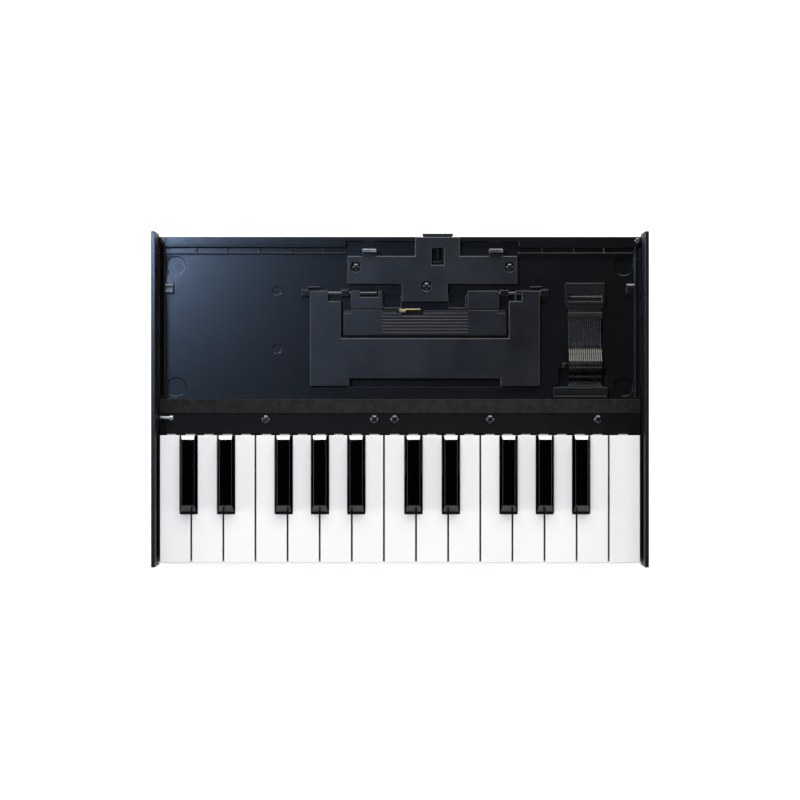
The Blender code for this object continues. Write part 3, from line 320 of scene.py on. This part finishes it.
class Surface:
    """A Principled material and the nodes that feed it."""

    def __init__(self, name, roughness=0.5, metallic=0.0, **sockets):
        self.material = bpy.data.materials.new(name)
        self.material.use_nodes = True
        self.tree = self.material.node_tree
        self.shader = self.tree.nodes["Principled BSDF"]
        self.shader.inputs["Roughness"].default_value = roughness
        self.shader.inputs["Metallic"].default_value = metallic
        for socket, value in sockets.items():
            self.shader.inputs[socket.replace("_", " ")].default_value = value
        self.coordinates = self.node("ShaderNodeTexCoord").outputs["Object"]

    def node(self, kind, **values):
        made = self.tree.nodes.new(kind)
        for name, value in values.items():
            setattr(made, name, value)
        return made

    def link(self, source, target):
        self.tree.links.new(source, target)

    def stretched(self, scale):
        """Object coordinates scaled differently along each axis."""
        mapping = self.node("ShaderNodeMapping")
        mapping.inputs["Scale"].default_value = scale
        self.link(self.coordinates, mapping.inputs["Vector"])
        return mapping.outputs["Vector"]

    def noise(self, scale, detail=3.0, roughness=0.5, where=None):
        made = self.node("ShaderNodeTexNoise")
        made.inputs["Scale"].default_value = scale
        made.inputs["Detail"].default_value = detail
        made.inputs["Roughness"].default_value = roughness
        self.link(where or self.coordinates, made.inputs["Vector"])
        return made.outputs["Fac"]

    def cells(self, scale, where=None):
        made = self.node("ShaderNodeTexVoronoi")
        made.inputs["Scale"].default_value = scale
        self.link(where or self.coordinates, made.inputs["Vector"])
        return made.outputs["Distance"]

    def remap(self, source, low, high, start=0.3, stop=0.7):
        made = self.node("ShaderNodeMapRange")
        made.inputs["From Min"].default_value = start
        made.inputs["From Max"].default_value = stop
        made.inputs["To Min"].default_value = low
        made.inputs["To Max"].default_value = high
        self.link(source, made.inputs["Value"])
        return made.outputs["Result"]

    def mix(self, share, first, second):
        """Blend of two colours; either may be a colour or an output."""
        made = self.node("ShaderNodeMix", data_type="RGBA")
        self.link(share, made.inputs["Factor"])
        for value, socket in ((first, made.inputs[6]), (second, made.inputs[7])):
            if isinstance(value, tuple):
                socket.default_value = value
            else:
                self.link(value, socket)
        return made.outputs[2]

    def add(self, first, second, operation="ADD"):
        made = self.node("ShaderNodeMath", operation=operation)
        self.link(first, made.inputs[0])
        self.link(second, made.inputs[1])
        return made.outputs[0]

    def edges(self, reach=0.0005):
        """Share of wear: how far the surface leans away from its own rounded-off shape, in patches."""
        softened = self.node("ShaderNodeBevel", samples=4)
        softened.inputs["Radius"].default_value = reach
        geometry = self.node("ShaderNodeNewGeometry")
        compare = self.node("ShaderNodeVectorMath", operation="DOT_PRODUCT")
        self.link(softened.outputs["Normal"], compare.inputs[0])
        self.link(geometry.outputs["Normal"], compare.inputs[1])
        lean = self.remap(compare.outputs["Value"], 0.0, 1.0, *WEAR_LEAN)
        return self.add(lean, self.remap(self.noise(170.0, 4.0), 0.0, 1.0, 0.35, 0.6), "MULTIPLY")

    def facing(self, part):
        """One part, X, Y or Z, of the direction that the surface faces."""
        geometry = self.node("ShaderNodeNewGeometry")
        parts = self.node("ShaderNodeSeparateXYZ")
        self.link(geometry.outputs["Normal"], parts.inputs[0])
        return parts.outputs[part]

    def level_coat(self):
        """Coat that lies on level faces and runs thin on upright ones."""
        weight = self.remap(self.facing("Z"), 0.0, 1.0, 0.80, 0.97)
        self.link(weight, self.shader.inputs["Coat Weight"])

    def lengthwise_coat(self):
        """Coat on the top and the ends, worn dull along the upright sides."""
        sideways = self.facing("X")
        weight = self.remap(self.add(sideways, sideways, "MULTIPLY"), 1.0, 0.0, 0.35, 0.85)
        self.link(weight, self.shader.inputs["Coat Weight"])

    def painted_top_light(self, strength):
        """Painted light: emission, strongest on level faces and weaker on upright ones, which lifts the
        moulding's shade and brightens its top.
        """
        self.shader.inputs["Emission Color"].default_value = (1.0, 1.0, 1.0, 1.0)
        share = self.remap(self.facing("Z"), strength * 0.2, strength, 0.5, 0.9)
        self.link(share, self.shader.inputs["Emission Strength"])

    def colour(self, source):
        self.link(source, self.shader.inputs["Base Color"])

    def roughness(self, source):
        self.link(source, self.shader.inputs["Roughness"])

    def bump(self, height, distance, strength):
        made = self.node("ShaderNodeBump")
        made.inputs["Distance"].default_value = distance
        made.inputs["Strength"].default_value = strength
        self.link(height, made.inputs["Height"])
        self.link(made.outputs["Normal"], self.shader.inputs["Normal"])
        self.link(made.outputs["Normal"], self.shader.inputs["Coat Normal"])


RUBBED = 12                     # how much lighter the rubbed edges are


def moulded(name, colour, light, roughness, grain=1500.0, depth=0.00003, glazed=False, **sockets):
    """Textured moulding: spark-eroded grain, faint flow marks and edges rubbed a little lighter."""
    surface = Surface(name, roughness, **sockets)
    if glazed:
        surface.level_coat()
    flow = surface.noise(9.0, 4.0)
    tone = surface.mix(surface.remap(flow, 0.0, 1.0), display_colour(*colour), display_colour(*light))
    worn = display_colour(*(level + RUBBED for level in light))
    surface.colour(surface.mix(surface.edges(), tone, worn))
    fine = surface.noise(grain, 3.0)
    surface.roughness(surface.remap(surface.noise(38.0, 5.0), roughness - 0.05, roughness + 0.06))
    surface.bump(surface.add(fine, surface.cells(grain * 0.7)), depth, 0.6)
    return surface.material


def polished(name, colour, light, roughness, lengthwise=False, painted_light_strength=0.0, **sockets):
    """Glossy key moulding with a trace of orange peel, fine rub marks and handled patches."""
    surface = Surface(name, roughness, **sockets)
    if lengthwise:
        surface.lengthwise_coat()
    # painted light: a faint emission, strongest on level faces, fills the shade on the key tops
    if painted_light_strength:
        surface.painted_top_light(painted_light_strength)
    patches = surface.noise(26.0, 5.0)
    surface.colour(surface.mix(surface.remap(patches, 0.0, 1.0), display_colour(*colour),
                               display_colour(*light)))
    rubs = surface.noise(90.0, 6.0, 0.65, surface.stretched((9.0, 1.0, 4.0)))
    surface.roughness(surface.remap(rubs, roughness - 0.03, roughness + 0.08))
    surface.bump(surface.noise(260.0, 2.0), 0.00002, 0.35)
    return surface.material


def coated_steel():
    """Black powder coat on sheet steel: a tight orange-peel skin."""
    surface = Surface("coated_steel_look", 0.52, Specular_IOR_Level=0.2, Coat_IOR=1.8, Coat_Roughness=0.22)
    surface.level_coat()
    tone = surface.mix(surface.remap(surface.noise(14.0, 4.0), 0.0, 1.0), display_colour(9, 9, 12),
                       display_colour(16, 16, 20))
    surface.colour(surface.mix(surface.edges(0.0004), tone, display_colour(62, 64, 72)))
    surface.roughness(surface.remap(surface.noise(60.0, 4.0), 0.46, 0.58))
    surface.bump(surface.noise(900.0, 3.0), 0.00006, 0.5)
    return surface.material


def felt(name, dark, light):
    """Pressed wool: tangled fibres at two scales, with a soft nap."""
    surface = Surface(name, 0.95, Sheen_Weight=0.08, Sheen_Roughness=0.6, Specular_IOR_Level=0.2)
    fibres = surface.noise(1400.0, 6.0, 0.75, surface.stretched((1.0, 2.6, 1.0)))
    tufts = surface.noise(240.0, 5.0, 0.7)
    tangle = surface.add(fibres, tufts, "MULTIPLY")
    surface.colour(surface.mix(surface.remap(tangle, 0.0, 1.0, 0.12, 0.40), display_colour(*dark),
                               display_colour(*light)))
    surface.bump(tangle, 0.0004, 0.9)
    return surface.material


def metal(name, colour, roughness, grain=(1.0, 1.0, 1.0)):
    """Drawn or plated metal with fine grain and slight tarnish."""
    surface = Surface(name, roughness, 1.0)
    tarnish = surface.remap(surface.noise(120.0, 5.0), 0.0, 1.0)
    darker = tuple(level * 0.72 for level in display_colour(*colour)[:3]) + (1.0,)
    surface.colour(surface.mix(tarnish, display_colour(*colour), darker))
    drawn = surface.noise(700.0, 4.0, 0.6, surface.stretched(grain))
    surface.roughness(surface.remap(drawn, roughness - 0.07, roughness + 0.12))
    surface.bump(drawn, 0.00002, 0.4)
    return surface.material


def rubber(name, dark, light, roughness=0.85):
    surface = Surface(name, roughness)
    bloom = surface.noise(80.0, 5.0)
    surface.colour(surface.mix(surface.remap(bloom, 0.0, 1.0), display_colour(*dark), display_colour(*light)))
    surface.roughness(surface.remap(bloom, roughness - 0.1, roughness + 0.08))
    surface.bump(surface.noise(1800.0, 3.0), 0.00006, 0.7)
    return surface.material


def insulation(name, dark, light, roughness):
    """Satin vinyl, slightly uneven from conductor to conductor."""
    surface = Surface(name, roughness)
    streaks = surface.noise(1.0, 3.0, 0.5, surface.stretched((900.0, 20.0, 20.0)))
    surface.colour(surface.mix(surface.remap(streaks, 0.0, 1.0), display_colour(*dark),
                               display_colour(*light)))
    surface.roughness(surface.remap(surface.noise(150.0, 4.0), roughness - 0.06, roughness + 0.08))
    surface.bump(surface.noise(500.0, 3.0), 0.00001, 0.4)
    return surface.material


def board_surface():
    """Solder resist over copper tracks."""
    surface = Surface("board_look", 0.4)
    tracks = surface.cells(1.0, surface.stretched((60.0, 260.0, 60.0)))
    surface.colour(surface.mix(surface.remap(tracks, 0.0, 1.0, 0.3, 0.36), display_colour(30, 84, 48),
                               display_colour(20, 60, 36)))
    surface.bump(tracks, 0.00005, 0.4)
    return surface.material


def floor_surface():
    """Plain white floor, lit through so that it stays even, and clear from below."""
    surface = Surface("floor_look", 0.9)
    surface.shader.inputs["Base Color"].default_value = (0.9, 0.9, 0.9, 1.0)
    surface.shader.inputs["Emission Color"].default_value = (1.0, 1.0, 1.0, 1.0)
    surface.shader.inputs["Emission Strength"].default_value = 0.75
    geometry = surface.node("ShaderNodeNewGeometry")
    clear = surface.node("ShaderNodeBsdfTransparent")
    choose = surface.node("ShaderNodeMixShader")
    output = surface.tree.nodes["Material Output"]
    surface.link(geometry.outputs["Backfacing"], choose.inputs[0])
    surface.link(surface.shader.outputs[0], choose.inputs[1])
    surface.link(clear.outputs[0], choose.inputs[2])
    surface.link(choose.outputs[0], output.inputs["Surface"])
    return surface.material


CASE = moulded("case_look", (4, 4, 5), (8, 8, 10), 0.42, glazed=True, Specular_IOR_Level=0.15,
               Coat_IOR=1.78, Coat_Roughness=0.2)
STAND = moulded("stand_look", (20, 21, 23), (25, 26, 29), 0.36, 1200.0, Specular_IOR_Level=0.7)
STRIP = moulded("strip_look", (4, 4, 4), (8, 7, 7), 0.55, 1100.0, Specular_IOR_Level=0.2)
CHASSIS = moulded("chassis_look", (52, 52, 56), (64, 64, 69), 0.55)
CONNECTOR = moulded("connector_look", (12, 12, 14), (20, 20, 23), 0.40, 2200.0, 0.00002)
STEEL_COAT = coated_steel()
# the ivory keys get painted light: a faint glow, strongest on their level tops, that fills the shade between
# the black keys
IVORY = polished("ivory_look", (219, 217, 214), (225, 223, 220), 0.24, painted_light_strength=0.31, Coat_Weight=0.1,
                 Coat_Roughness=0.05)
EBONY = polished("ebony_look", (2, 2, 3), (5, 5, 6), 0.55, lengthwise=True, Specular_IOR_Level=0.0,
                 Coat_IOR=1.35, Coat_Roughness=0.12)
REST = felt("rest_felt_look", (16, 16, 16), (48, 48, 47))
STOP = felt("stop_felt_look", (48, 16, 18), (86, 32, 34))
DOME = rubber("dome_look", (104, 106, 110), (132, 134, 138), 0.65)
FOOT = rubber("foot_look", (14, 14, 15), (27, 27, 28))
LEAD = insulation("lead_look", (6, 6, 8), (14, 14, 17), 0.24)
TAPE = insulation("tape_look", (5, 5, 7), (10, 11, 14), 0.5)
BOARD = board_surface()
# painted shade: the latch spring's steel is bright, but it is coloured dark to stand for the shade it sits in
# behind the latch window
SPRING_IN_SHADE = metal("spring_shade_look", (48, 49, 53), 0.32)
SCREW = metal("screw_look", (92, 93, 98), 0.28)
STEEL = metal("steel_look", (196, 198, 200), 0.24, (0.2, 3.0, 3.0))
BRASS = metal("brass_look", (206, 190, 150), 0.30)


# ---------------------------------------------------------------- keys

WHITE_KEYS = 15
BLACK_KEYS = 10
WHITE_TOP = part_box("white_key_15")[1].z / MM
WHITE_FRONT = -101.5            # in front of this line only the front lip remains
CROWN_BASE = 34.0
SLOPE_REAR = -65.0              # the black keys' front slopes end here
CARRIER_FRONT = -24.8           # the black keys' white carriers show behind this line


def white_rule(middle, edge):
    """Wide rounding round the playing surface, wider still along its front edge."""
    if middle.z > WHITE_TOP - 0.1:
        return 0.75 if middle.y < WHITE_FRONT else 0.45
    if middle.y < WHITE_FRONT:
        return 0.4
    return 0.18


def black_rule(middle, edge):
    """Generous rounding of the crown and the sloping front."""
    if middle.z > CROWN_BASE or middle.y < SLOPE_REAR:
        return 0.6
    return 0.2


def is_carrier(middle):
    return middle.y > CARRIER_FRONT


def dress_keys():
    for number in range(1, WHITE_KEYS + 1):
        name = f"white_key_{number:02d}"
        refined(name, name, IVORY, "key_white", white_rule)
    for number in range(1, BLACK_KEYS + 1):
        name = f"black_key_{number:02d}"
        refined(name, name, EBONY, "key_black", black_rule, accent=IVORY, accented=is_carrier)


# ---------------------------------------------------------------- case

LEDGE_TOP = 13.0
LONG_EDGE = 12.0                # longer top edges than this get the wide rounding
CORNER_POST_Y = 97.0
LOCATING_PIN = (-142.0, 13.1)   # the tail cover's pin lies left of this x and above this z


def tray_rule(middle, edge):
    """Wide rounding on the long top edges of the walls and the ledge, narrow on the small ribs."""
    if middle.z > LEDGE_TOP - 0.9:
        return 0.5 if edge.calc_length() > LONG_EDGE * MM else 0.2
    return 0.25


def is_corner_post(middle):
    return middle.z > LEDGE_TOP + 0.2 and middle.y > CORNER_POST_Y


def is_locating_pin(middle):
    return middle.x < LOCATING_PIN[0] and middle.z > LOCATING_PIN[1]


def dress_case():
    refined("tray", BASE, CASE, "case_black", tray_rule, accent=STEEL, accented=is_corner_post)
    refined("bottom_cover", BASE, CASE, "case_black", constant(0.4))
    for side in ("left", "right"):
        refined(f"{side}_side_panel", BASE, STEEL_COAT, "panel_steel", constant(0.35))
    refined("key_tail_cover", BASE, STRIP, "strip_black", constant(0.25), accent=STEEL,
            accented=is_locating_pin)
    refined("key_frame", BASE, CHASSIS, "chassis_grey", constant(0.15), 2)
    refined("board_header", BASE, CONNECTOR, "connector_black", constant(0.3))
    refined("ribbon_plug", BASE, CONNECTOR, "connector_black", constant(0.35))
    refined("contact_board", BASE, BOARD, "board_green", constant(0.1), 1)
    refined("contact_strip", BASE, DOME, "contact_rubber", constant(0.1), 1)
    for name in ("front_stop_felt", "rear_stop_felt", "lift_stop_felt"):
        refined(name, BASE, STOP, "stop_felt", constant(0.2), 2)


# ---------------------------------------------------------------- stand and latch

PLATE_TOP = 12.9
PROP_MIDDLE = 15.6
RIBS_HALF = 26.6
RIBS_REAR = 57.0
WALL_HEIGHT = 1.5               # upright edges of the latch cover are longer than this
SLIDER_TOP = 11.2               # the latch slider's steel hooks stand above this


def plate_rule(middle, edge):
    """Wide rounding along the top edges of the plates."""
    return 0.55 if middle.z > PLATE_TOP else 0.2


def prop_rule(middle, edge):
    """Wide rounding on the tabs and the ends; the ribs between the grooves keep crisp edges."""
    off_centre = abs(middle.x - PROP_MIDDLE)
    if middle.z > PLATE_TOP and off_centre > RIBS_HALF and middle.y > RIBS_REAR:
        return 0.4
    return 0.18


def cover_rule(middle, edge):
    """Wide top edges and small fillets in the inner corners."""
    if not edge.is_convex and abs(edge.verts[0].co.z - edge.verts[1].co.z) > WALL_HEIGHT * MM:
        return 0.9
    return 0.6 if middle.z > PLATE_TOP else 0.2


def is_hook(middle):
    return middle.z > SLIDER_TOP


def dress_stand():
    refined("tilt_frame", "tilt_frame", STAND, "stand_grey", plate_rule)
    refined("tilt_prop", "tilt_prop", STAND, "stand_grey", prop_rule, 2)
    refined("latch_cover", BASE, STAND, "stand_grey", cover_rule)
    refined("latch_slider", "latch_slider", STAND, "stand_grey", constant(0.15), 2, STEEL, is_hook)
    for side in ("left", "right"):
        refined(f"hinge_pin_{side}", BASE, SCREW, "black_steel", constant(0.2), 2)


FEET = 4


def dress_feet():
    """Rubber feet with a rounded tread and a shallow hollow in the middle."""
    for number in range(1, FEET + 1):
        name = f"foot_{number}"
        low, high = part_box(name)
        centre = ((low.x + high.x) / 2 / MM, (low.y + high.y) / 2 / MM)
        top = high.z / MM
        profile = ((0.0, top), (6.8, top), (7.0, top - 0.2), (7.0, 0.9), (6.85, 0.45), (6.5, 0.12),
                   (6.0, 0.0), (3.4, 0.0), (3.2, 0.15), (3.0, 0.5), (0.0, 0.5))
        foot = lathe(f"foot_{number}_skin", profile, centre, 56)
        smooth(foot, 50)
        place(foot, BASE, FOOT, "foot_rubber", name)


# ---------------------------------------------------------------- screws

# Name, count and head radius of the screws that the CAD has
CAD_SCREWS = (("strip_screw", 5, 2.8), ("cover_screw", 3, 2.6))
SCREW_RISE = 1.1
SHANK_RADIUS = 1.05
SCREW_ARM = 0.58                # length of a cross recess's arm, as a share of the head's radius
SCREW_ARM_HALF = 0.33
SCREW_RECESS = 0.75
SCREW_TURN = math.radians(17)   # for each millimetre along X, so that the heads don't line up


def cross_screw(name, head_radius, rise, reach=0.0):
    """Pan-head screw about Z with its crown at the origin, a cross recess and a shank if it has a reach."""
    crown = [(head_radius * share, -rise * share ** 3.2) for share in (0.35, 0.6, 0.8, 0.92, 1.0)]
    profile = [(0.0, 0.0)] + crown + [(head_radius, -rise - 0.01)]
    if reach:
        profile += [(SHANK_RADIUS, -rise - 0.02), (SHANK_RADIUS, -reach), (0.0, -reach)]
    else:
        profile.append((0.0, -rise - 0.01))
    item = lathe(name, profile, (0.0, 0.0), 40)
    arm = head_radius * SCREW_ARM
    depth = (-min(SCREW_RECESS, rise - 0.1), 1.0)
    carve(item, [mesh_boxes("slot", [((-arm, arm), (-SCREW_ARM_HALF, SCREW_ARM_HALF), depth)]),
                 mesh_boxes("slot", [((-SCREW_ARM_HALF, SCREW_ARM_HALF), (-arm, arm), depth)])])
    smooth(item, 40)
    return item


def put(item, crown, turn):
    """Move a screw so that its crown is at the point, after the turn."""
    item.data.transform(Matrix.Translation(Vector(crown) * MM) @ turn)


def dress_screws():
    """Screws of the CAD, each turned to its own angle, and those of the case."""
    for kind, count, head_radius in CAD_SCREWS:
        for number in range(1, count + 1):
            node = f"{kind}_{number}"
            low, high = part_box(node)
            low, high = low / MM, high / MM
            screw = cross_screw(node + "_skin", head_radius, SCREW_RISE, high.z - low.z)
            put(screw, ((low.x + high.x) / 2, (low.y + high.y) / 2, high.z),
                Matrix.Rotation(SCREW_TURN * high.x, 4, "Z"))
            place(screw, BASE, SCREW, "black_steel", node)
    dress_case_screws()


# Places of the screws that sit in the panels' and the bottom cover's pockets, as in the CAD source
PANEL_SCREWS_Y = (-86.0, 8.0, 88.0)
PANEL_SCREW_Z = 9.4
PANEL_SCREW_SINK = 0.25
PANEL_SCREW_TURN = 0.7          # radians from one screw to the next
CASE_SCREW_RADIUS = 2.7
CASE_SCREW_RISE = 0.95
COVER_SCREWS_X = (-142.0, 0.0, 142.0)
COVER_SCREWS_Y = (-70.0, 60.0)
COVER_SCREW_BOTTOM = 3.1
COVER_SCREW_TURN = 0.9


def dress_case_screws():
    """Screws through the side panels and up through the bottom cover."""
    for side, panel in ((-1, "left_side_panel"), (1, "right_side_panel")):
        low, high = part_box(panel)
        face = (low.x if side < 0 else high.x) / MM - side * PANEL_SCREW_SINK
        for number, y in enumerate(PANEL_SCREWS_Y, 1):
            screw = cross_screw(f"{panel}_screw_{number}", CASE_SCREW_RADIUS, CASE_SCREW_RISE)
            spin = Matrix.Rotation(PANEL_SCREW_TURN * number, 4, "Z")
            turn = Matrix.Rotation(side * math.pi / 2, 4, "Y") @ spin
            put(screw, (face, y, PANEL_SCREW_Z), turn)
            place(screw, BASE, SCREW, "black_steel")
    places = [(x, y) for x in COVER_SCREWS_X for y in COVER_SCREWS_Y]
    for number, (x, y) in enumerate(places, 1):
        screw = cross_screw(f"underside_screw_{number}", CASE_SCREW_RADIUS, CASE_SCREW_RISE)
        spin = Matrix.Rotation(COVER_SCREW_TURN * number, 4, "Z")
        turn = Matrix.Rotation(math.pi, 4, "X") @ spin
        put(screw, (x, y, COVER_SCREW_BOTTOM), turn)
        place(screw, BASE, SCREW, "black_steel")


# ---------------------------------------------------------------- springs

LATCH_GAUGE = 0.28              # wire radius
LATCH_TURNS = 8.5
LATCH_STEPS = 200
LATCH_FLAT_END = 0.08           # share of the wire that lies flat at each end
PROP_GAUGE = 0.4
PROP_COIL_RADIUS = 1.6          # over the wire
PROP_COIL_WIDTH = 3.9
PROP_TURNS = 4.0
PROP_STEPS = 110
PROP_LEG_RISE = math.radians(50)    # where the leg leaves the coil


def wire(name, points, radius):
    """Round wire along points in millimetres, as a mesh with closed ends."""
    data = bpy.data.curves.new(name, "CURVE")
    data.dimensions = "3D"
    data.bevel_depth = radius * MM
    data.bevel_resolution = 2
    data.use_fill_caps = True
    spline = data.splines.new("POLY")
    spline.points.add(len(points) - 1)
    for target, point in zip(spline.points, points):
        target.co = (point[0] * MM, point[1] * MM, point[2] * MM, 1.0)
    carrier = bpy.data.objects.new(name, data)
    bpy.context.scene.collection.objects.link(carrier)
    bpy.context.view_layer.update()
    graph = bpy.context.evaluated_depsgraph_get()
    mesh = bpy.data.meshes.new_from_object(carrier.evaluated_get(graph))
    bpy.data.objects.remove(carrier, do_unlink=True)
    shape = bmesh.new()
    shape.from_mesh(mesh)
    bmesh.ops.remove_doubles(shape, verts=shape.verts, dist=WIRE_WELD)
    item = add_shape(name, shape)
    smooth(item, 50)
    return item


def dress_springs():
    """Compression spring behind the latch's post; the real one shortens as the latch is pressed, this one
    keeps its resting length.
    """
    low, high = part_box("latch_spring")
    low, high = low / MM, high / MM
    middle = ((low.x + high.x) / 2, (low.z + high.z) / 2)
    radius = (high.x - low.x) / 2 - LATCH_GAUGE
    points = []
    for step in range(LATCH_STEPS + 1):
        share = step / LATCH_STEPS
        # the end turns lie flat, as on a ground spring
        run = min(1.0, max(0.0, (share - LATCH_FLAT_END) / (1 - 2 * LATCH_FLAT_END)))
        y = low.y + LATCH_GAUGE + (high.y - low.y - 2 * LATCH_GAUGE) * run
        turn = math.tau * LATCH_TURNS * share
        points.append((middle[0] + radius * math.cos(turn), y, middle[1] + radius * math.sin(turn)))
    spring = wire("latch_spring_coil", points, LATCH_GAUGE)
    place(spring, BASE, SPRING_IN_SHADE, "bright_steel", "latch_spring")
    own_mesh(spring)
    dress_prop_spring()


def dress_prop_spring():
    """Torsion spring: a short coil and a long leg along the notch."""
    low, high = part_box("prop_spring")
    low, high = low / MM, high / MM
    radius = PROP_COIL_RADIUS - PROP_GAUGE
    centre_y = low.y + PROP_COIL_RADIUS
    centre_z = low.z + PROP_COIL_RADIUS
    start = low.x + PROP_COIL_WIDTH + 0.5
    leg = (centre_y + radius * math.cos(PROP_LEG_RISE), centre_z + radius * math.sin(PROP_LEG_RISE))
    points = [(high.x, *leg), (start + 1.0, *leg)]
    for step in range(PROP_STEPS + 1):
        share = step / PROP_STEPS
        turn = PROP_LEG_RISE + math.tau * PROP_TURNS * share
        points.append((start - PROP_COIL_WIDTH * share, centre_y + radius * math.cos(turn),
                       centre_z + radius * math.sin(turn)))
    coil = wire("prop_spring_coil", points, PROP_GAUGE)
    place(coil, "tilt_prop", BRASS, "spring_brass", "prop_spring")


# ---------------------------------------------------------------- felt and lead

def dress_felt():
    """Felt band with a slightly uneven, fibrous face."""
    felt_piece = refined("rest_felt", BASE, REST, "felt_grey", constant(0.3), 2)


# The lead's route as (y, z), as in the CAD source
LEAD_ROUTE = ((7.9, 8.6), (11.0, 7.9), (15.0, 9.4), (18.0, 12.6), (20.8, 15.2), (23.4, 15.3),
              (26.8, 13.5), (30.2, 11.5), (33.2, 10.5), (38.0, 10.2), (51.0, 10.3), (56.9, 10.6))
LEAD_X = (105.7, 126.8)
CONDUCTORS = 16
CONDUCTOR_STEPS = 6             # faces across each conductor
ROUTE_STEPS = 8                 # faces between two points of the route
CORE_HALF = 0.45
WEB_HALF = 0.24
TAPE_OVERHANG = 0.3
TAPE_OUTLINE = ((50.6, 9.35), (55.0, 9.35), (55.0, 11.7), (54.7, 12.2), (53.6, 12.4), (52.0, 12.45),
                (51.0, 12.3), (50.6, 11.8))
CONTACT_ROW = (63.9, 65.2)
CONTACT_Z = (12.0, 12.9)
CONTACT_MARGIN = (0.25, 0.2)    # left and right of each contact in its pitch


def catmull(before, start, end, after, share):
    """Catmull-Rom blend between start and end."""
    return 0.5 * (2 * start + (end - before) * share
                  + (2 * before - 5 * start + 4 * end - after) * share ** 2
                  + (3 * start - before - 3 * end + after) * share ** 3)


def smooth_route(points, steps):
    """Points of a smooth curve through the route."""
    result = []
    for index in range(len(points) - 1):
        around = [points[min(max(index + offset, 0), len(points) - 1)] for offset in (-1, 0, 1, 2)]
        for step in range(steps):
            result.append(tuple(catmull(*(point[k] for point in around), step / steps) for k in (0, 1)))
    result.append(points[-1])
    return result


def lead_heights():
    """Half thickness of the lead at each line along it: round conductors with thin webs between."""
    heights = []
    for step in range(CONDUCTORS * CONDUCTOR_STEPS + 1):
        phase = (step % CONDUCTOR_STEPS) / CONDUCTOR_STEPS * 2 - 1
        heights.append(WEB_HALF + (CORE_HALF - WEB_HALF) * math.sqrt(max(0.0, 1 - phase * phase)))
    return heights


def make_lead():
    """Flat lead whose conductors show as parallel ridges on both faces."""
    left, right = LEAD_X
    route = smooth_route(LEAD_ROUTE, ROUTE_STEPS)
    heights = lead_heights()
    across = len(heights) - 1
    shape = bmesh.new()
    loops = []
    for index, (y, z) in enumerate(route):
        ahead = route[min(index + 1, len(route) - 1)]
        behind = route[max(index - 1, 0)]
        run = Vector((ahead[0] - behind[0], ahead[1] - behind[1])).normalized()
        loop = []
        for face in (1, -1):
            order = range(across + 1) if face == 1 else range(across, -1, -1)
            for step in order:
                x = left + (right - left) * step / across
                lift = heights[step] * face
                loop.append(shape.verts.new((x * MM, (y - run.y * lift) * MM, (z + run.x * lift) * MM)))
        loops.append(loop)
    count = len(loops[0])
    for first, second in zip(loops, loops[1:]):
        for step in range(count):
            after = (step + 1) % count
            shape.faces.new((first[step], first[after], second[after], second[step]))
    shape.faces.new(loops[0])
    shape.faces.new(loops[-1])
    lead = add_shape("ribbon_lead", shape)
    smooth(lead, 60)
    return lead


def dress_lead():
    """The lead, the tape round it and the contacts of its plug."""
    left, right = LEAD_X
    place(make_lead(), BASE, LEAD, "ribbon_grey", "ribbon_cable")
    tape = extruded("ribbon_tape", TAPE_OUTLINE, (left - TAPE_OVERHANG, right + TAPE_OVERHANG))
    rounded(tape, 0.25)
    place(tape, BASE, TAPE, "ribbon_grey")
    pitch = (right - left) / CONDUCTORS
    blades = []
    for core in range(CONDUCTORS):
        start = left + pitch * core
        blades.append(((start + CONTACT_MARGIN[0], start + pitch - CONTACT_MARGIN[1]),
                       CONTACT_ROW, CONTACT_Z))
    contacts = mesh_boxes("plug_contacts", blades)
    rounded(contacts, 0.18, 2)
    place(contacts, BASE, STEEL, "bright_steel")


# ---------------------------------------------------------------- assembly

make_camera()
make_studio()
dress_keys()
dress_case()
dress_stand()
dress_feet()
dress_screws()
dress_springs()
dress_felt()
dress_lead()
